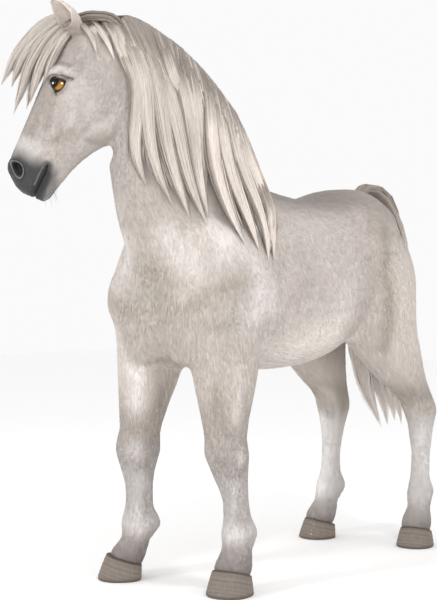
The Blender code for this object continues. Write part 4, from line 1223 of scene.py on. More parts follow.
def maneDepth(flat, hairTree, bodyTree, inward):
    # places seen from the left, laid onto the mane's solid or else onto the neck; the ends sink towards the body
    made = []
    sink = np.maximum(easeIn(np.linspace(0, 1, len(flat)), 0.4, 0.95), inward)
    for (a, z), share in zip(flat, sink):
        start = Vector(fromRear * a + upright * z + fromLeft * 2.0)
        way = Vector(-fromLeft)
        hit = hairTree.ray_cast(start, way)[0]
        skinHit = bodyTree.ray_cast(start, way)[0]
        if hit is None and skinHit is None:
            hit = hairTree.find_nearest(Vector(fromRear * a + upright * z + fromLeft * 0.45))[0]
        elif hit is None:
            hit = skinHit + Vector(fromLeft) * 0.008
        elif skinHit is not None:
            above = (hit - skinHit).length
            hit = hit - Vector(fromLeft) * max(above - 0.018, 0) * float(share)
        made.append(hit)
    return np.array(made)


def findRidge(hairTree):
    # the mane's upper edge seen from the left: places back, heights and depths
    rows = []
    for a in np.arange(-0.46, 0.07, 0.01):
        for z in np.arange(1.92, 1.2, -0.003):
            hit = hairTree.ray_cast(Vector(fromRear * a + upright * z + fromLeft * 2.0), Vector(-fromLeft))[0]
            if hit is not None:
                rows.append((a, z, np.array(hit) @ fromLeft))
                break
    rows = np.array(rows)
    for column, rounds in ((2, 9), (1, 6)):
        for _ in range(rounds):
            rows[1:-1, column] = rows[1:-1, column] * 0.4 + (rows[:-2, column] + rows[2:, column]) * 0.3
    return rows


def underRidge(flat, ridge):
    # what stands over the upper edge is moved square to it
    steep = np.interp(flat[:, 0], ridge[:, 0], np.gradient(ridge[:, 1], ridge[:, 0]))
    high = np.interp(flat[:, 0], ridge[:, 0], ridge[:, 1])
    over = np.clip(flat[:, 1] + 0.003 - high, 0, 0.2) * (flat[:, 0] > ridge[0, 0])
    return flat + np.stack([steep, -np.ones(len(flat))], axis=1) * (over / (1 + steep**2))[:, None]


def layOnNeck(flat, outer, hairTree, bodyTree, ridge, inward):
    # one strand: from the crest over the mane's upper edge, then down along the mane or, inward, nearer the body
    flat = underRidge(flat, ridge)
    places = maneDepth(flat, hairTree, bodyTree, inward)
    depth = places @ fromLeft
    for _ in range(4):
        depth[1:-1] = depth[1:-1] * 0.4 + (depth[:-2] + depth[2:]) * 0.3
    fall = np.linspace(0, 1, len(flat))
    depth[-2] = depth[-3]
    depth[-1] = depth[-2]
    depth = depth + outer - 0.006 * (1 - easeIn(fall, 0.0, 0.15))
    places = flat[:, :1] * fromRear + flat[:, 1:] * upright + depth[:, None] * fromLeft
    slope = np.clip((flat[1, 0] - flat[0, 0]) / min(flat[1, 1] - flat[0, 1], -0.01), -0.8, 0.3)
    a = flat[0, 0]
    for _ in range(3):
        high = float(np.interp(a, ridge[:, 0], ridge[:, 1]))
        a = flat[0, 0] + slope * max(high - flat[0, 1], 0)
    if flat[0, 0] < ridge[0, 0]:
        high = flat[0, 1] + 0.004
    high -= rng.uniform(0.0, 0.005)
    top = fromRear * a + upright * high + fromLeft * (np.interp(a, ridge[:, 0], ridge[:, 2]) - 0.004)
    heights = [place[2] for _, place in crestLine]
    back = float(np.interp(-(high - 0.015), [-h for h in heights], [b for b, _ in crestLine]))
    root = crestAt(back) - upright * 0.02
    arch = root * 0.45 + top * 0.55 + upright * 0.016
    return np.vstack([root, arch, top, places])


def lockStrands(middle, half, stand, count, lay):
    # the strands of one lock: each its line, its colours and its width
    steps = np.linspace(0, 1, len(middle))
    way = unit(np.gradient(middle, axis=0))
    flat = np.stack([-way[:, 1], way[:, 0]], axis=1)
    lean = rng.uniform(-0.5, 0.5)
    shade = rng.uniform(-0.05, 0.22)
    tones = ("root", "root", "root", "middle", "middle", "tip", "tip")
    down = np.linspace(0, 1, hairSizes["points"])
    made = []
    for _ in range(int(count * hairSizes["strands"])):
        v = np.clip(rng.normal(0, 0.5), -1, 1)
        layer = rng.uniform(0, 1)
        end = rng.uniform(0.8, 1.0) if abs(v) > 0.3 else rng.uniform(0.9, 1.0)
        at = np.linspace(0.0, end, maneSizes["onNeck"])
        curl = 0.1 * np.sin(at * rng.uniform(5, 10) + rng.uniform(0, 6.3)) * at
        out = (v + curl) * half * lockWidth(at, 0.62)
        own = between(at, steps, middle) + between(at, steps, flat) * out[:, None]
        swell = stand * 0.011 * (1 - v * v) * np.sin(np.clip(at, 0, 1) * math.pi) ** 0.5
        rise = 0.004 + swell - 0.01 * (1 - layer)
        # painted shade at the lock's edges and in its under layers, with a random darkness for each lock
        edge = easeIn(np.array(abs(v - lean * 0.3)), 0.55, 0.98)
        dark = float(np.clip(0.95 * edge + 0.45 * (1 - layer) ** 2 + shade, 0, 0.85))
        line, tint = lay(own, rise), toned(down, 0.35 + 0.65 * layer, tones, dark)
        made.append((line, tint, rng.uniform(*maneSizes["lockWide"])))
    return made


def underStrands(guides, lay):
    # wide strands between the locks, darker as painted shade
    steps = np.linspace(0, 1, maneSizes["steps"])
    tones = ("root", "root", "root", "middle", "middle", "tip")
    down = np.linspace(0, 1, hairSizes["points"])
    made = []
    for _ in range(maneSizes["under"]):
        place = rng.uniform(0, len(guides) - 1.001)
        i, f = int(place), place % 1
        middle = guides[i] * (1 - f) + guides[i + 1] * f
        at = np.linspace(0, rng.uniform(0.45, 0.88), maneSizes["onNeck"])
        own = between(at, steps, middle)
        own[:, 0] += 0.006 * np.sin(at * 8 + rng.uniform(0, 6.3)) * at
        line = lay(own, np.full(len(at), rng.uniform(-0.01, 0.002)))
        tint = toned(down, rng.uniform(0.3, 0.8), tones, rng.uniform(0.0, 0.4))
        made.append((line, tint, rng.uniform(*maneSizes["underWide"])))
    return made


def closingStrands(last, ridge, lay):
    # strands that close the mane behind the last lock, down to the withers
    tones = ("root", "root", "middle", "middle")
    down = np.linspace(0, 1, hairSizes["points"])
    made = []
    for _ in range(maneSizes["closing"]):
        high = rng.uniform(*maneSizes["closingFrom"])
        a = float(np.interp(-high, -ridge[:, 1], ridge[:, 0])) - 0.006
        heights = np.linspace(high, rng.uniform(maneSizes["closingTo"], high - 0.08), maneSizes["onNeck"])
        own = np.stack([np.interp(-heights, -last[:, 1], last[:, 0]), heights], axis=1)
        own[:, 0] += (a - own[0, 0]) * np.linspace(1, 0, len(own)) - rng.uniform(0.0, 0.02)
        line = lay(own, np.full(len(own), rng.uniform(-0.012, -0.002)), rng.uniform(0, 1))
        tint = toned(down, rng.uniform(0.4, 0.9), tones, rng.uniform(0.0, 0.3))
        made.append((line, tint, rng.uniform(*maneSizes["closingWide"])))
    return made


def maneStrands(hairTree, bodyTree):
    ridge = findRidge(hairTree)

    def lay(flat, outer, inward=0.0):
        return layOnNeck(flat, outer, hairTree, bodyTree, ridge, inward)

    strands, guides = [], []
    for name, (rows, half, stand, count) in maneLocks.items():
        middle = smoothPath(rows, maneSizes["steps"])
        if not name.startswith(("wisp", "zero")):
            guides.append(middle)
        strands += lockStrands(middle, half, stand, count, lay)
    inLocks = len(strands)
    strands += underStrands(guides, lay)
    strands += closingStrands(guides[-1], ridge, lay)
    lines, tint, wide = (np.array(rows) for rows in zip(*strands))
    tops = lines[:, 1:3].copy()
    for _ in range(3):
        lines[:, 1:-1] = lines[:, 1:-1] * 0.5 + (lines[:, :-2] + lines[:, 2:]) * 0.25
        lines[:, 1:3] = tops
    outs = np.broadcast_to(unit(fromLeft + upright * 0.25), lines.shape).copy()
    outs[:, 0] = unit(upright * 0.8 - fromLeft * 0.5)
    outs[:, 1] = unit(upright - fromLeft * 0.1)
    outs[:, 2] = unit(upright + fromLeft * 0.3)
    outs[:, 3] = unit(upright * 0.6 + fromLeft * 0.8)
    # broad darker and lighter streaks down the whole mane
    spots = lines.reshape(-1, 3) * np.array([1, 1, 0.22])
    rear = 1.06 + 0.2 * easeIn(lines @ fromRear, -0.22, -0.04)[..., None]  # lighter towards the withers
    tint *= (1 + 0.1 * wave(spots, 0.1, 31) + 0.07 * wave(spots, 0.045, 32)).reshape(*lines.shape[:2], 1) * rear
    wide *= hairSizes["width"]
    parts = {"maneLocks": slice(0, inLocks), "maneUnder": slice(inLocks, None)}
    thick = hairSizes["thick"]
    return [strandPiece(name, lines[own], outs[own], wide[own], thick, tint[own]) for name, own in parts.items()]


# locks of the forelock, from the poll over the brow, as (along, up, out) on the head;
# half width and half thickness in metres, and strands
forelockLocks = {
    "frontEdge": (
        ((-0.02, 0.02, 0.0), (0.01, 0.16, 0.01), (0.1, 0.26, 0.02), (0.22, 0.318, 0.03), (0.35, 0.35, 0.03),
         (0.52, 0.365, 0.03)),
        0.028, 0.019, 110,
    ),
    "front": (
        ((-0.02, 0.02, 0.01), (0.02, 0.15, 0.02), (0.13, 0.24, 0.03), (0.27, 0.29, 0.05), (0.4, 0.305, 0.05),
         (0.51, 0.3, 0.05)),
        0.026, 0.02, 120,
    ),
    "long": (
        ((-0.01, 0.02, 0.02), (0.04, 0.14, 0.03), (0.16, 0.215, 0.05), (0.32, 0.245, 0.07), (0.48, 0.24, 0.07),
         (0.645, 0.23, 0.07)),
        0.028, 0.021, 140,
    ),
    "middle": (
        ((0.0, 0.03, 0.03), (0.07, 0.12, 0.05), (0.19, 0.165, 0.08), (0.33, 0.18, 0.1), (0.45, 0.17, 0.11),
         (0.555, 0.16, 0.1)),
        0.024, 0.018, 110,
    ),
    "nearEye": (
        ((0.02, 0.04, 0.05), (0.09, 0.1, 0.08), (0.2, 0.125, 0.115), (0.31, 0.13, 0.13), (0.44, 0.125, 0.13)),
        0.016, 0.012, 60,
    ),
    "middleRight": (
        ((0.0, 0.03, -0.02), (0.06, 0.13, -0.04), (0.17, 0.195, -0.06), (0.32, 0.225, -0.07), (0.46, 0.215, -0.08),
         (0.58, 0.2, -0.08)),
        0.03, 0.02, 130,
    ),
    "right": (
        ((0.01, 0.03, -0.04), (0.08, 0.11, -0.07), (0.2, 0.15, -0.1), (0.34, 0.16, -0.12), (0.48, 0.155, -0.12)),
        0.026, 0.016, 100,
    ),
    "pollBand": (
        ((-0.01, -0.19, 0.0), (-0.072, -0.13, 0.0), (-0.086, -0.065, 0.0), (-0.068, 0.0, 0.0), (-0.048, 0.055, 0.0),
         (-0.005, 0.105, 0.01), (0.04, 0.145, 0.01), (0.11, 0.19, 0.02), (0.2, 0.215, 0.02)),
        0.046, 0.01, 150,
    ),
    "pollLeft": (
        ((0.02, -0.19, 0.08), (-0.045, -0.13, 0.078), (-0.058, -0.065, 0.075), (-0.04, 0.0, 0.065),
         (-0.02, 0.05, 0.06), (0.02, 0.1, 0.06), (0.08, 0.14, 0.07), (0.18, 0.165, 0.085)),
        0.024, 0.009, 80,
    ),
    "pollRight": (
        ((0.02, -0.19, -0.08), (-0.045, -0.13, -0.078), (-0.058, -0.065, -0.075), (-0.04, 0.0, -0.065),
         (-0.02, 0.05, -0.06), (0.02, 0.1, -0.06), (0.08, 0.14, -0.07), (0.18, 0.165, -0.085)),
        0.024, 0.009, 80,
    ),
}
# locks of the tail from the dock to the tip, in metres
tailLocks = {
    "middle": (
        ((0.045, 0.6, 1.335), (0.045, 0.655, 1.37), (0.045, 0.735, 1.366), (0.045, 0.808, 1.302),
         (0.045, 0.835, 1.158), (0.04, 0.82, 0.978), (0.03, 0.799, 0.813), (0.04, 0.79, 0.6), (0.062, 0.8, 0.43)),
        0.06, 0.026, 300,
    ),
    "right": (
        ((0.04, 0.64, 1.36), (0.03, 0.73, 1.35), (-0.004, 0.802, 1.213), (-0.036, 0.802, 1.033),
         (-0.055, 0.785, 0.868), (-0.05, 0.771, 0.716), (-0.01, 0.775, 0.54), (0.04, 0.79, 0.42)),
        0.054, 0.026, 280,
    ),
    "left": (
        ((0.05, 0.64, 1.36), (0.06, 0.735, 1.345), (0.089, 0.804, 1.213), (0.111, 0.804, 1.033),
         (0.117, 0.785, 0.868), (0.112, 0.775, 0.716), (0.115, 0.78, 0.58), (0.128, 0.8, 0.435)),
        0.048, 0.026, 260,
    ),
    "rightEdge": (
        ((0.03, 0.7, 1.355), (0.0, 0.79, 1.24), (-0.06, 0.8, 1.0), (-0.092, 0.78, 0.86), (-0.085, 0.77, 0.74),
         (-0.045, 0.775, 0.6), (0.0, 0.785, 0.5)),
        0.026, 0.018, 120,
    ),
    "lowFill": (
        ((0.04, 0.76, 1.1), (0.045, 0.79, 0.95), (0.06, 0.785, 0.78), (0.08, 0.785, 0.6), (0.098, 0.795, 0.45)),
        0.046, 0.018, 220,
    ),
    "back": (
        ((0.045, 0.7, 1.37), (0.045, 0.8, 1.325), (0.05, 0.852, 1.18), (0.055, 0.85, 0.99), (0.06, 0.835, 0.82),
         (0.09, 0.82, 0.66), (0.12, 0.815, 0.5)),
        0.038, 0.014, 130,
    ),
}

hairTree = treeOf([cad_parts["mane"]])
skinTree = treeOf([skin])
manePieces = maneStrands(hairTree, skinTree)
print("mane", [len(piece.data.polygons) for piece in manePieces])


# width of a strand, how full the locks stay towards their ends, and how much lighter the whole; the tail's is painted
# light where it hangs in shade
freeSizes = {
    "forelock": {"width": 0.0044, "full": 7.0, "shade": 0.91},
    "tail": {"width": 0.0058, "full": 9.0, "shade": 1.12},
}


def freePiece(name, locks, across, tones, sizes):
    parts = []
    for k, (rows, wide, thick, count) in enumerate(locks):
        own = tones[min(k, len(tones) - 1)]
        parts.append(freeLock(rows, count, wide, thick, across, sizes["full"], own))
    lines, outs, tint = (np.concatenate(rows) for rows in zip(*parts))
    widths = rng.uniform(0.7, 1.25, len(lines)) * sizes["width"]
    return strandPiece(name, lines, outs, widths, hairSizes["thick"], tint * sizes["shade"])


forelockRows = [([onHead(*p) for p in rows], *sizes) for rows, *sizes in forelockLocks.values()]
# the band over the poll and the locks beside it take the last, darker tones as painted shade
forelockTones = [("root", "middle", "middle", "tip")] * 7 + [("root", "root", "root", "middle")]
# the tail's lower part is pale as painted light, hanging in the shade of the body and legs
tailTones = [("tailTop", "tailTop", "middle", "low", "low")]
forelockStrandPiece = freePiece("forelockStrands", forelockRows, headAxes[2], forelockTones, freeSizes["forelock"])
tailAcross = np.array([1.0, 0, 0])
tailStrandPiece = freePiece("tailStrands", tailLocks.values(), tailAcross, tailTones, freeSizes["tail"])
print("hair done")

# short hair: small tufts over the skin, lying along the body

coatRows = {
    # length and width in metres, tufts for each square metre, and how far they stand off
    "trunk": (0.019, 0.002, 44000, 0.03),
    "belly": (0.026, 0.0022, 38000, 0.075),
    "chest": (0.021, 0.002, 44000, 0.036),
    "neck": (0.019, 0.002, 44000, 0.032),
    "legs": (0.012, 0.0016, 50000, 0.045),
    "face": (0.0075, 0.0012, 78000, 0.05),
    "muzzle": (0.0032, 0.0008, 70000, 0.12),
    "jaw": (0.012, 0.0014, 66000, 0.12),
    "earInside": (0.014, 0.0014, 90000, 0.2),
    "feather": (0.02, 0.0019, 60000, 0.11),
    "coronet": (0.015, 0.0017, 60000, 0.12),
}
coatVary = {"long": (0.72, 1.2), "wide": (0.75, 1.25), "tilt": (0.5, 1.4), "turn": 0.09, "tone": 0.012}
clumps = {"share": 0.045, "long": (1.8, 3.0), "wide": 1.9, "tones": (0.975, 1.025)}
coatLight = {"smooth": 0.88, "apart": 0.12}  # lit as the skin, and as each tuft
# the way the hair lies: across, back and up
lieWays = {
    "trunk": (0.0, 0.38, -0.92),
    "rump": (0.0, 0.35, -0.95),
    "belly": (0.0, 0.92, -0.2),
    "neck": (0.25, 0.45, -0.85),
    "chest": (0.0, 0.1, -1.0),
    "legs": (0.0, 0.0, -1.0),
}
coatFront = 0.08  # the trunk's coat is parted here, front from rear
tuftFaces = ((0, 2, 1), (0, 3, 2), (2, 3, 1), (1, 3, 0))
tuftPatch = ((-0.0014, -0.0014), (0.0014, -0.0014), (0.0, -0.0004), (0.0, 0.0015))


def lieOf(points, normals):
    # the way the hair lies
    weights = regionWeights(points)
    made = np.tile(lieWays["trunk"], (len(points), 1))

    def towards(way, share):
        way = np.asarray(way, float)
        made[:] += (way - made) * np.clip(share, 0, 1)[:, None]

    towards(lieWays["rump"], easeIn(points[:, 1], 0.35, 0.6))
    towards(lieWays["belly"], easeIn(-normals[:, 2], 0.3, 0.8) * (1 - weights["legs"]))
    towards(lieWays["neck"], easeIn(-points[:, 1], 0.25, 0.45) * easeIn(points[:, 2], 1.05, 1.2))
    towards(lieWays["chest"], easeIn(-points[:, 1], 0.4, 0.55) * (1 - easeIn(points[:, 2], 1.05, 1.25)))
    towards(lieWays["legs"], weights["legs"])
    towards(headAxes[0], easeIn(weights["head"], 0.2, 0.8))
    towards(-headAxes[0] * 0.6 - headAxes[1] * 0.2 + np.array([0, 0, 0.6]), easeIn(points[:, 2], 1.785, 1.805))
    return made


def featherShare(points, normals):
    # the long hair at the back of each fetlock
    number = limbOf(points)
    made = np.zeros(len(points))
    away = np.zeros((len(points), 3))
    for k, name in enumerate(limbs):
        own = number == k
        back = -toeWay(name)
        away[own] = back
        made[own] = easeIn(normals[own] @ back, 0.15, 0.7) * bump((points[own, 2] - 0.15) / 0.055)
    return made, away


def tuftSizes(points, normals):
    t, u, o = headCoords(points).T
    weights = regionWeights(points)
    made = np.tile(coatRows["trunk"], (len(points), 1))

    def towards(name, share):
        made[:] += (np.array(coatRows[name]) - made) * np.clip(share, 0, 1)[:, None]

    towards("belly", easeIn(-normals[:, 2], 0.2, 0.8) * (1 - weights["legs"]))
    towards("neck", easeIn(-points[:, 1], 0.25, 0.45) * easeIn(points[:, 2], 1.05, 1.2))
    towards("chest", easeIn(-points[:, 1], 0.48, 0.56) * (1 - weights["legs"]) * (1 - weights["head"]))
    towards("legs", weights["legs"])
    towards("face", easeIn(weights["head"], 0.2, 0.8))
    towards("jaw", easeIn(weights["head"], 0.5, 0.8) * easeIn(-(u + 0.42 * (t - 0.5)), 0.22, 0.34))
    towards("muzzle", easeIn(t, 0.76, 0.88) * (weights["head"] > 0.5))
    ears = easeIn(points[:, 2], 1.785, 1.8)
    mouthOf = np.sign(o)[:, None] * headAxes[2] * 0.62 + headAxes[0] * 0.72
    towards("earInside", ears * easeIn(np.einsum("ij,ij->i", normals, mouthOf), 0.1, 0.6))
    towards("feather", featherShare(points, normals)[0])
    towards("coronet", 1 - easeIn(points[:, 2], 0.085, 0.115))
    for side in (1, -1):
        x, y, z, inside = eyeSpot(points, side)
        near = (z > 0) & (np.hypot(x, y) < 0.11)
        made[:, 0] *= np.where(near, 0.45 + 0.55 * easeIn(-inside, 0.01, 0.06), 1)
    return made


def bare(points):
    # lids' edges, nostrils and mouth grow no hair
    t, u, o = headCoords(points).T
    place = np.stack([t, u], axis=1)
    onMuzzle = (t > 0.8) & (regionWeights(points)["head"] > 0.5)
    made = onMuzzle & (nostrilSpot(place) < 1.2) & (np.abs(o) > 0.03)
    made |= onMuzzle & (fromPath(place, mouth["line"]) < 0.01)
    for side in (1, -1):
        x, y, z, inside = eyeSpot(points, side)
        made |= (z > 0) & (np.hypot(x, y) < 0.2) & (inside > -0.009)
    return made


def tuftShare(points):
    # where longer tufts stand out of the short coat: neck, chest, trunk and thighs
    weights = regionWeights(points)
    return (1 - weights["legs"]) * (1 - weights["head"])


def scattered(skin):
    # places for the tufts all over the skin, with its normals there
    corners = readNumbers(skin.data.loops, "vertex_index").reshape(-1, 3)
    points, normals = pointsOf(skin), normalsOf(skin)
    a, b, c = (points[corners[:, k]] for k in range(3))
    area = np.linalg.norm(np.cross(b - a, c - a), axis=1) / 2
    sizes = tuftSizes((a + b + c) / 3, unit(normals[corners].sum(axis=1)))
    face = np.repeat(np.arange(len(corners)), rng.poisson(area * sizes[:, 2]))
    r1, r2 = np.sqrt(rng.uniform(size=len(face))), rng.uniform(size=len(face))
    share = np.stack([1 - r1, r1 * (1 - r2), r1 * r2], axis=1)[:, :, None]
    root = (points[corners[face]] * share).sum(axis=1)
    normal = unit((normals[corners[face]] * share).sum(axis=1))
    keep = ~bare(root)
    return root[keep], normal[keep]


def growCoat(skin):
    root, normal = scattered(skin)
    sizes = tuftSizes(root, normal)
    lie = lieOf(root, normal)
    feather, back = featherShare(root, normal)
    lie += (back * 0.75 + np.array([0, 0, -0.8]) - lie) * feather[:, None]
    lie = unit(lie - normal * np.einsum("ij,ij->i", lie, normal)[:, None])
    turn = rng.normal(0, coatVary["turn"], len(root)) + 0.1 * wave(root, 0.16, 11)
    side = np.cross(normal, lie)
    lie = unit(lie * np.cos(turn)[:, None] + side * np.sin(turn)[:, None])
    side = np.cross(normal, lie)
    long = sizes[:, 0] * rng.uniform(*coatVary["long"], len(root))
    wide = sizes[:, 1] * rng.uniform(*coatVary["wide"], len(root))
    tilt = sizes[:, 3] * rng.uniform(*coatVary["tilt"], len(root))
    # a few longer tufts break the form
    clump = rng.uniform(size=len(root)) < clumps["share"] * tuftShare(root)
    long *= np.where(clump, rng.uniform(*clumps["long"], len(root)), 1)
    wide *= np.where(clump, clumps["wide"], 1)
    # the tips follow the skin's own curve
    tip = root + lie * long[:, None]
    found = [skinTree.find_nearest(spot)[:2] for spot in tip.tolist()]
    under, over = (np.array([pair[k] for pair in found]) for k in range(2))
    loose = feather > 0.05
    lying = (np.einsum("ij,ij->i", over, normal) > 0.6) & (np.linalg.norm(under - tip, axis=1) < 0.005) & ~loose
    over = np.where(lying[:, None], over, normal)
    tip = np.where(lying[:, None], under, tip) + over * (0.001 + long * np.sin(tilt))[:, None]
    low, half = root - normal * 0.0006, side * (wide / 2)[:, None]
    high = root + normal * (0.0007 + wide * 0.1)[:, None] + lie * (long * 0.12)[:, None]
    corner = np.stack([low - half, low + half, high, tip], axis=1)
    odd, usual = rng.choice(clumps["tones"], len(root)), rng.normal(1.0, coatVary["tone"], len(root))
    tone = np.where(clump, odd, usual)
    colours = peltColour(root) * tone[:, None]
    dyed = colours[:, None, :] * np.array([0.985, 0.985, 1.0, 1.015])[None, :, None]
    part = wrapPart(root)
    sheet = wrapped(root, part, wrapWay(normal, part))[:, None, :] + np.array(tuftPatch)[None]
    apart = np.stack([-side, side, normal, unit(normal + lie)], axis=1)
    smooth = np.stack([normal, normal, normal, unit(normal + over)], axis=1)
    lit = unit(smooth * coatLight["smooth"] + apart * coatLight["apart"])
    kept = lying | loose  # none bridges a fold
    return coatPiecesOf(*(rows[kept] for rows in (root, part, corner, dyed, sheet, lit)))


def coatPiecesOf(root, part, corner, dyed, sheet, lit):
    left, front = root[:, 0] > middleX, root[:, 1] < coatFront
    groups = {
        "coatHead": part <= 2,
        "coatNeck": part == 3,
        "coatLeftFront": (part == 4) & left & front,
        "coatLeftRear": (part == 4) & left & ~front,
        "coatRightFront": (part == 4) & ~left & front,
        "coatRightRear": (part == 4) & ~left & ~front,
        "coatForelegs": (part == 5) | (part == 6),
        "coatHindlegs": part >= 7,
    }
    pieces = []
    for name, own in groups.items():
        start = np.arange(int(own.sum()))[:, None] * 4
        faces = np.stack([start + np.array(f) for f in tuftFaces], axis=1).reshape(-1, 3)
        obj = meshPiece(name, corner[own].reshape(-1, 3), faces)
        dye(obj, "pelt", dyed[own].reshape(-1, 3))
        bakeMap(obj, sheet[own].reshape(-1, 2)[faces.ravel()])
        obj.data.materials.append(coatPaint)
        setNormals(obj, lit[own].reshape(-1, 3))
        print(name, len(faces))
        pieces.append(obj)
    return pieces


coatPieces = growCoat(skin)


# eyes and lashes

irisShape = {
    "radius": 0.037,
    "middle": (-0.001, -0.001),
    "pupil": (0.03, 0.0165),
    "pupilPlace": 0.009,
    # where the painted reflections of the lamps sit on the eye, and their sizes
    "glints": (((0.0135, 0.019), 0.007), ((-0.018, -0.022), 0.0068)),
}
# bright is a painted highlight on the iris, pupil and ring also serve as painted shade over it, and glint is the
# painted reflections of the lamps
eyeColours = {
    "amber": (146, 102, 34),
    "bright": (200, 142, 46),
    "brown": (78, 44, 18),
    "ring": (34, 22, 14),
    "pupil": (10, 9, 9),
    "white": (70, 56, 46),
    "glint": (248, 246, 236),
}


def makeEye(side, name):
    size = headFrame["length"]
    ball = eyePlace["radius"] * size - 0.0003
    centre = eyeCentre(side)
    gaze, corner, brow = eyeAxes(side)
    bpy.ops.object.select_all(action="DESELECT")
    bpy.ops.mesh.primitive_uv_sphere_add(segments=128, ring_count=96, radius=1)
    eye = bpy.context.object
    eye.name = name
    eye.data.shade_smooth()
    q = pointsOf(eye)
    x, y, z = q.T
    across = np.hypot(x, y)
    swell = np.where(z > 0, 0.0011 * bump(across / 0.8), 0)
    points = (q * (ball + swell)[:, None]) @ np.array([corner, brow, gaze]) + centre
    setPoints(eye, points)
    if side > 0:  # the three ways make a left-handed set here
        inEdit(eye)
        bpy.ops.mesh.select_all(action="SELECT")
        bpy.ops.mesh.normals_make_consistent(inside=False)
        outOfEdit()
    ex, ey = x * eyePlace["radius"], y * eyePlace["radius"]
    px, py = ex - irisShape["middle"][0], ey - irisShape["middle"][1]
    reach = np.hypot(px, py) / irisShape["radius"]
    spoke = np.arctan2(py, px)
    grain = 0.5 + 0.5 * np.sin(spoke * 37 + 2 * np.sin(spoke * 11)) * np.sin(spoke * 23 + 1)
    made = np.tile(linear(eyeColours["amber"]), (len(q), 1))
    made *= (0.75 + 0.5 * grain * easeIn(reach, 0.3, 0.6))[:, None]
    made = laidOver(made, eyeColours["brown"], easeIn(reach, 0.72, 0.98))
    # painted shade towards the nose and under the upper lid, and a painted highlight on the iris away from them
    shade = py - px * 0.1
    pupil = np.hypot(*((p - irisShape["pupilPlace"]) / wide for p, wide in zip((px, py), irisShape["pupil"])))
    made = layered(made, eyeColours, (
        ("bright", 0.55 * easeIn(-shade, 0.008, 0.022)),
        ("pupil", 0.92 * easeIn(shade, -0.004, 0.014)),
        ("ring", 0.75 * easeIn(lidLift(px, py), 0.002, 0.022)),
        ("ring", easeIn(reach, 0.9, 1.0)),
        ("white", easeIn(reach, 1.02, 1.12)),
        ("brown", 0.8 * (1 - easeIn(pupil, 1.0, 1.35))),
        ("pupil", 1 - easeIn(pupil, 0.9, 1.05)),
    ))
    # painted reflections of the lamps
    for (ax, ay), wide in irisShape["glints"]:
        gap = np.hypot(ex - ax, ey - ay)
        made = laidOver(made, eyeColours["glint"], 1 - easeIn(gap, wide * 0.6, wide))
    made[z < 0] = linear(eyeColours["white"])
    dye(eye, "pelt", made)
    eye.data.materials.clear()
    eye.data.materials.append(eyePaint)
    return eye


def glossy(name, kind):
    material = pelted(name, surfaces[kind])
    wet = {"Coat Weight": wetness[kind], "Coat Roughness": 0.02, "Specular IOR Level": 0.02}
    setInputs(material.node_tree.nodes["Principled BSDF"], wet)
    return material


eyePaint = glossy("eyePaint", "eye")
eyeBump = eyePaint.node_tree.nodes["Principled BSDF"].inputs["Normal"].links[0].from_node
setInputs(eyeBump, {"Strength": 0.0})
eyePieces = [makeEye(1, "eyeLeft"), makeEye(-1, "eyeRight")]


lashShape = {"lashes": 28, "long": 0.013, "width": 0.0008, "thick": 0.0005, "colour": (52, 44, 40)}
whiskerShape = {"width": 0.0005, "colour": (112, 106, 103)}
# in the head's own frame, both sides alike
whiskerRoots = (
    (0.97, -0.12, 0.05),
    (0.95, -0.135, 0.03),
    (0.92, -0.12, 0.07),
    (0.99, -0.1, 0.03),
    (0.93, -0.13, 0.05),
    (0.96, -0.13, 0.01),
)


def makeLashes():
    # lashes along the upper lids, and a few whiskers about the lips and chin
    rings, size = hairSizes["points"], headFrame["length"]
    lines, outs, wide = [], [], []
    s = np.linspace(0, 1, rings)[:, None]
    ball, count = eyePlace["radius"], lashShape["lashes"]
    for side in (1, -1):
        gaze, corner, brow = eyeAxes(side)
        centre = eyeCentre(side)
        for x in np.linspace(-0.026, 0.028, count) + rng.normal(0, 0.0006, count):
            lean = eyeShape["lean"]
            peak = (x - lean) / (eyeShape["corner"] + (-lean if x > lean else lean))
            y = eyeShape["base"] + eyeShape["upper"] * max(1 - peak * peak, 0) ** 0.75 + 0.002
            way = unit(corner * x + brow * y + gaze * math.sqrt(max(ball**2 - x * x - y * y, 1e-5)))
            start = centre + way * (ball * size + eyeShape["lid"] - 0.0004)
            long = lashShape["long"] * rng.uniform(0.7, 1.1) * (1.25 if x < 0 else 0.9)
            first = unit(gaze * 0.9 - brow * 0.35 + corner * (x * 8))
            then = unit(gaze * 0.5 + brow * 0.45 + corner * (x * 14))
            lines.append(start + first * s * long * 0.9 + then * s * s * long * 0.5)
            outs.append(np.tile(brow, (rings, 1)))
            wide.append(lashShape["width"])
    for t, u, o in whiskerRoots:
        for side in (1, -1):
            start = Vector(onHead(t + rng.normal(0, 0.008), u + rng.normal(0, 0.008), o * side))
            spot, normal = skinTree.find_nearest(start)[:2]
            way = unit(np.array(normal) + headAxes[0] * 0.5 - upright * 0.3)
            long = rng.uniform(0.018, 0.034)
            root, droop = np.array(spot) - np.array(normal) * 0.001, np.array([0, 0, -0.35])
            lines.append(root + way * s * long + droop * s * s * long)
            outs.append(np.tile(np.cross(way, upright) + 0.01, (rings, 1)))
            wide.append(whiskerShape["width"])
    lines, outs = np.array(lines), unit(np.array(outs))
    dark = np.tile(linear(lashShape["colour"]), (len(lines), rings, 1))
    dark[-2 * len(whiskerRoots):] = linear(whiskerShape["colour"])
    return strandPiece("lashes", lines, outs, np.array(wide), lashShape["thick"], dark)


lashPiece = makeLashes()


# hooves

hoofShape = {"voxel": 0.0026, "rings": 0.015, "ripple": 0.0005, "inset": 0.0004, "hollow": 0.005, "shade": 0.77}
hoofColours = {
    "wall": (150, 139, 130),
    "ring": (116, 104, 95),
    "edge": (120, 109, 100),
    "coronet": (84, 75, 69),
    "sole": (98, 88, 80),
}


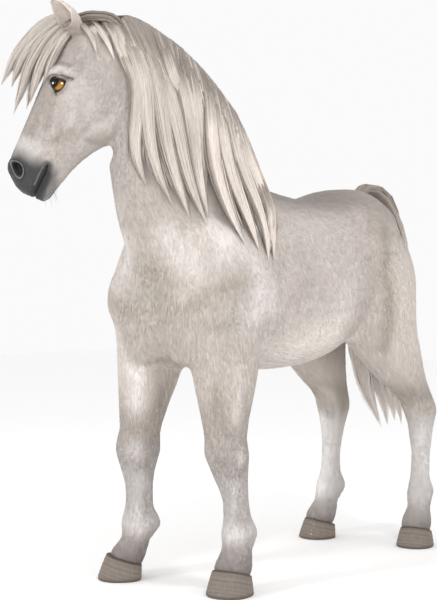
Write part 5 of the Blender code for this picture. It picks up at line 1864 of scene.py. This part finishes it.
def makeHoof(node, limb):
    hoof = copyOf(node)
    hoof.name = "hoof" + limb[0].upper() + limb[1:]
    finished(hoof, "REMESH", mode="VOXEL", voxel_size=hoofShape["voxel"], use_smooth_shade=True)
    finished(hoof, "SMOOTH", factor=0.5, iterations=9)
    points, normals = pointsOf(hoof), normalsOf(hoof)
    foot = np.array([*limbs[limb][1], 0.0])
    ring = hoofRing(points, limb)
    ring = ring + 0.0012 * wave(points * np.array([1, 1, 0.2]), 0.05, 21)
    wall = 1 - easeIn(np.abs(normals[:, 2]), 0.55, 0.85)
    turns = ring / hoofShape["rings"] * 2 * math.pi
    beat = 0.7 * np.sin(turns + 1.6 * np.sin(ring / 0.017)) + 0.3 * np.sin(ring / 0.0011)
    lift = hoofShape["ripple"] * beat * wall
    points = points + normals * (lift - hoofShape["inset"])[:, None]
    under = (normals[:, 2] < -0.8) & (points[:, 2] < 0.01)
    inwards = np.hypot(*(points - foot)[:, :2].T)
    points[:, 2] += np.where(under, hoofShape["hollow"] * (1 - easeIn(inwards, 0.022, 0.042)), 0)
    points[:, 2] = np.maximum(points[:, 2], 0.0)
    setPoints(hoof, points)
    top = np.percentile(ring, 99)
    made = np.tile(linear(hoofColours["wall"]), (len(points), 1))
    made = layered(made, hoofColours, (
        ("ring", 0.55 * easeIn(-beat, 0.15, 0.95)),
        ("edge", 1 - easeIn(points[:, 2], 0.003, 0.016)),
        ("coronet", 0.85 * easeIn(ring, top - 0.012, top - 0.004)),
        ("sole", 1 - easeIn(normals[:, 2], -0.9, -0.5)),
    ))
    made *= (1 + 0.05 * wave(points * np.array([1, 1, 0.15]), 0.012, 22))[:, None]
    dye(hoof, "pelt", made * hoofShape["shade"])
    hoof.data.materials.clear()
    hoof.data.materials.append(hoofPaint)
    return hoof


hoofPaint = glossy("hoofPaint", "hoof")
hoofPieces = [makeHoof(node, limb) for node, limb in zip(hoofNodes, limbs)]
print("eyes, lashes and hooves made")


# camera, floor and light

view = {"place": (2.9463, -3.6982, 0.9781), "azimuth": 39.94, "down": 0.51, "lens": 79.56}


def makeCamera():
    bpy.ops.object.camera_add(location=view["place"])
    camera = bpy.context.object
    a, d = math.radians(view["azimuth"]), math.radians(view["down"])
    ahead = Vector((-math.sin(a) * math.cos(d), math.cos(a) * math.cos(d), -math.sin(d)))
    camera.rotation_mode = "QUATERNION"
    camera.rotation_quaternion = ahead.to_track_quat("-Z", "Y")
    camera.data.lens = view["lens"]
    camera.data.sensor_width = 36
    camera.data.clip_end = 100
    bpy.context.scene.camera = camera


studio = {
    "sky": 0.96,
    "floor": 0.975,
    "lamps": (
        # place, size and strength of each soft lamp
        ((-0.9, -4.3, 2.6), 0.5, 42),
        ((2.3, -0.6, 4.2), 0.4, 30),
        ((2.5, -2.9, 1.3), 1.2, 16),
        ((-3.4, -1.5, 3.2), 2.5, 14),
    ),
}


def makeStudio():
    bpy.ops.mesh.primitive_plane_add(size=24, location=(0, 0, -0.0005))
    floor = bpy.context.object
    floor.name = "floor"
    paint = bpy.data.materials.new("floorPaint")
    paint.use_nodes = True
    pale = (studio["floor"],) * 3 + (1,)
    setInputs(paint.node_tree.nodes["Principled BSDF"], {"Base Color": pale, "Roughness": 0.8})
    floor.data.materials.append(paint)
    for place, size, power in studio["lamps"]:
        bpy.ops.object.light_add(type="AREA", location=place)
        lamp = bpy.context.object
        lamp.data.size = size
        lamp.data.energy = power
        lamp.rotation_mode = "QUATERNION"
        lamp.rotation_quaternion = (Vector((0, 0, 0.9)) - Vector(place)).to_track_quat("-Z", "Y")
    world = bpy.data.worlds.new("sky")
    world.use_nodes = True
    setInputs(world.node_tree.nodes["Background"], {"Color": (1, 1, 1, 1), "Strength": studio["sky"]})
    bpy.context.scene.world = world
    bpy.context.scene.view_settings.view_transform = "Standard"


makeCamera()
makeStudio()
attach(skin, "root")
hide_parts(*fleshNodes, *earNodes)
hairPieces = [(piece, "mane") for piece in manePieces]
hairPieces += [(forelockStrandPiece, "forelock"), (tailStrandPiece, "tail")]
for piece, node in hairPieces:
    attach(piece, "root")
    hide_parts(node)
for piece in coatPieces:
    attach(piece, "root")
for piece, node in (*zip(eyePieces, ("eye_left", "eye_right")), *zip(hoofPieces, hoofNodes)):
    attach(piece, "root")
    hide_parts(node)
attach(lashPiece, "root")
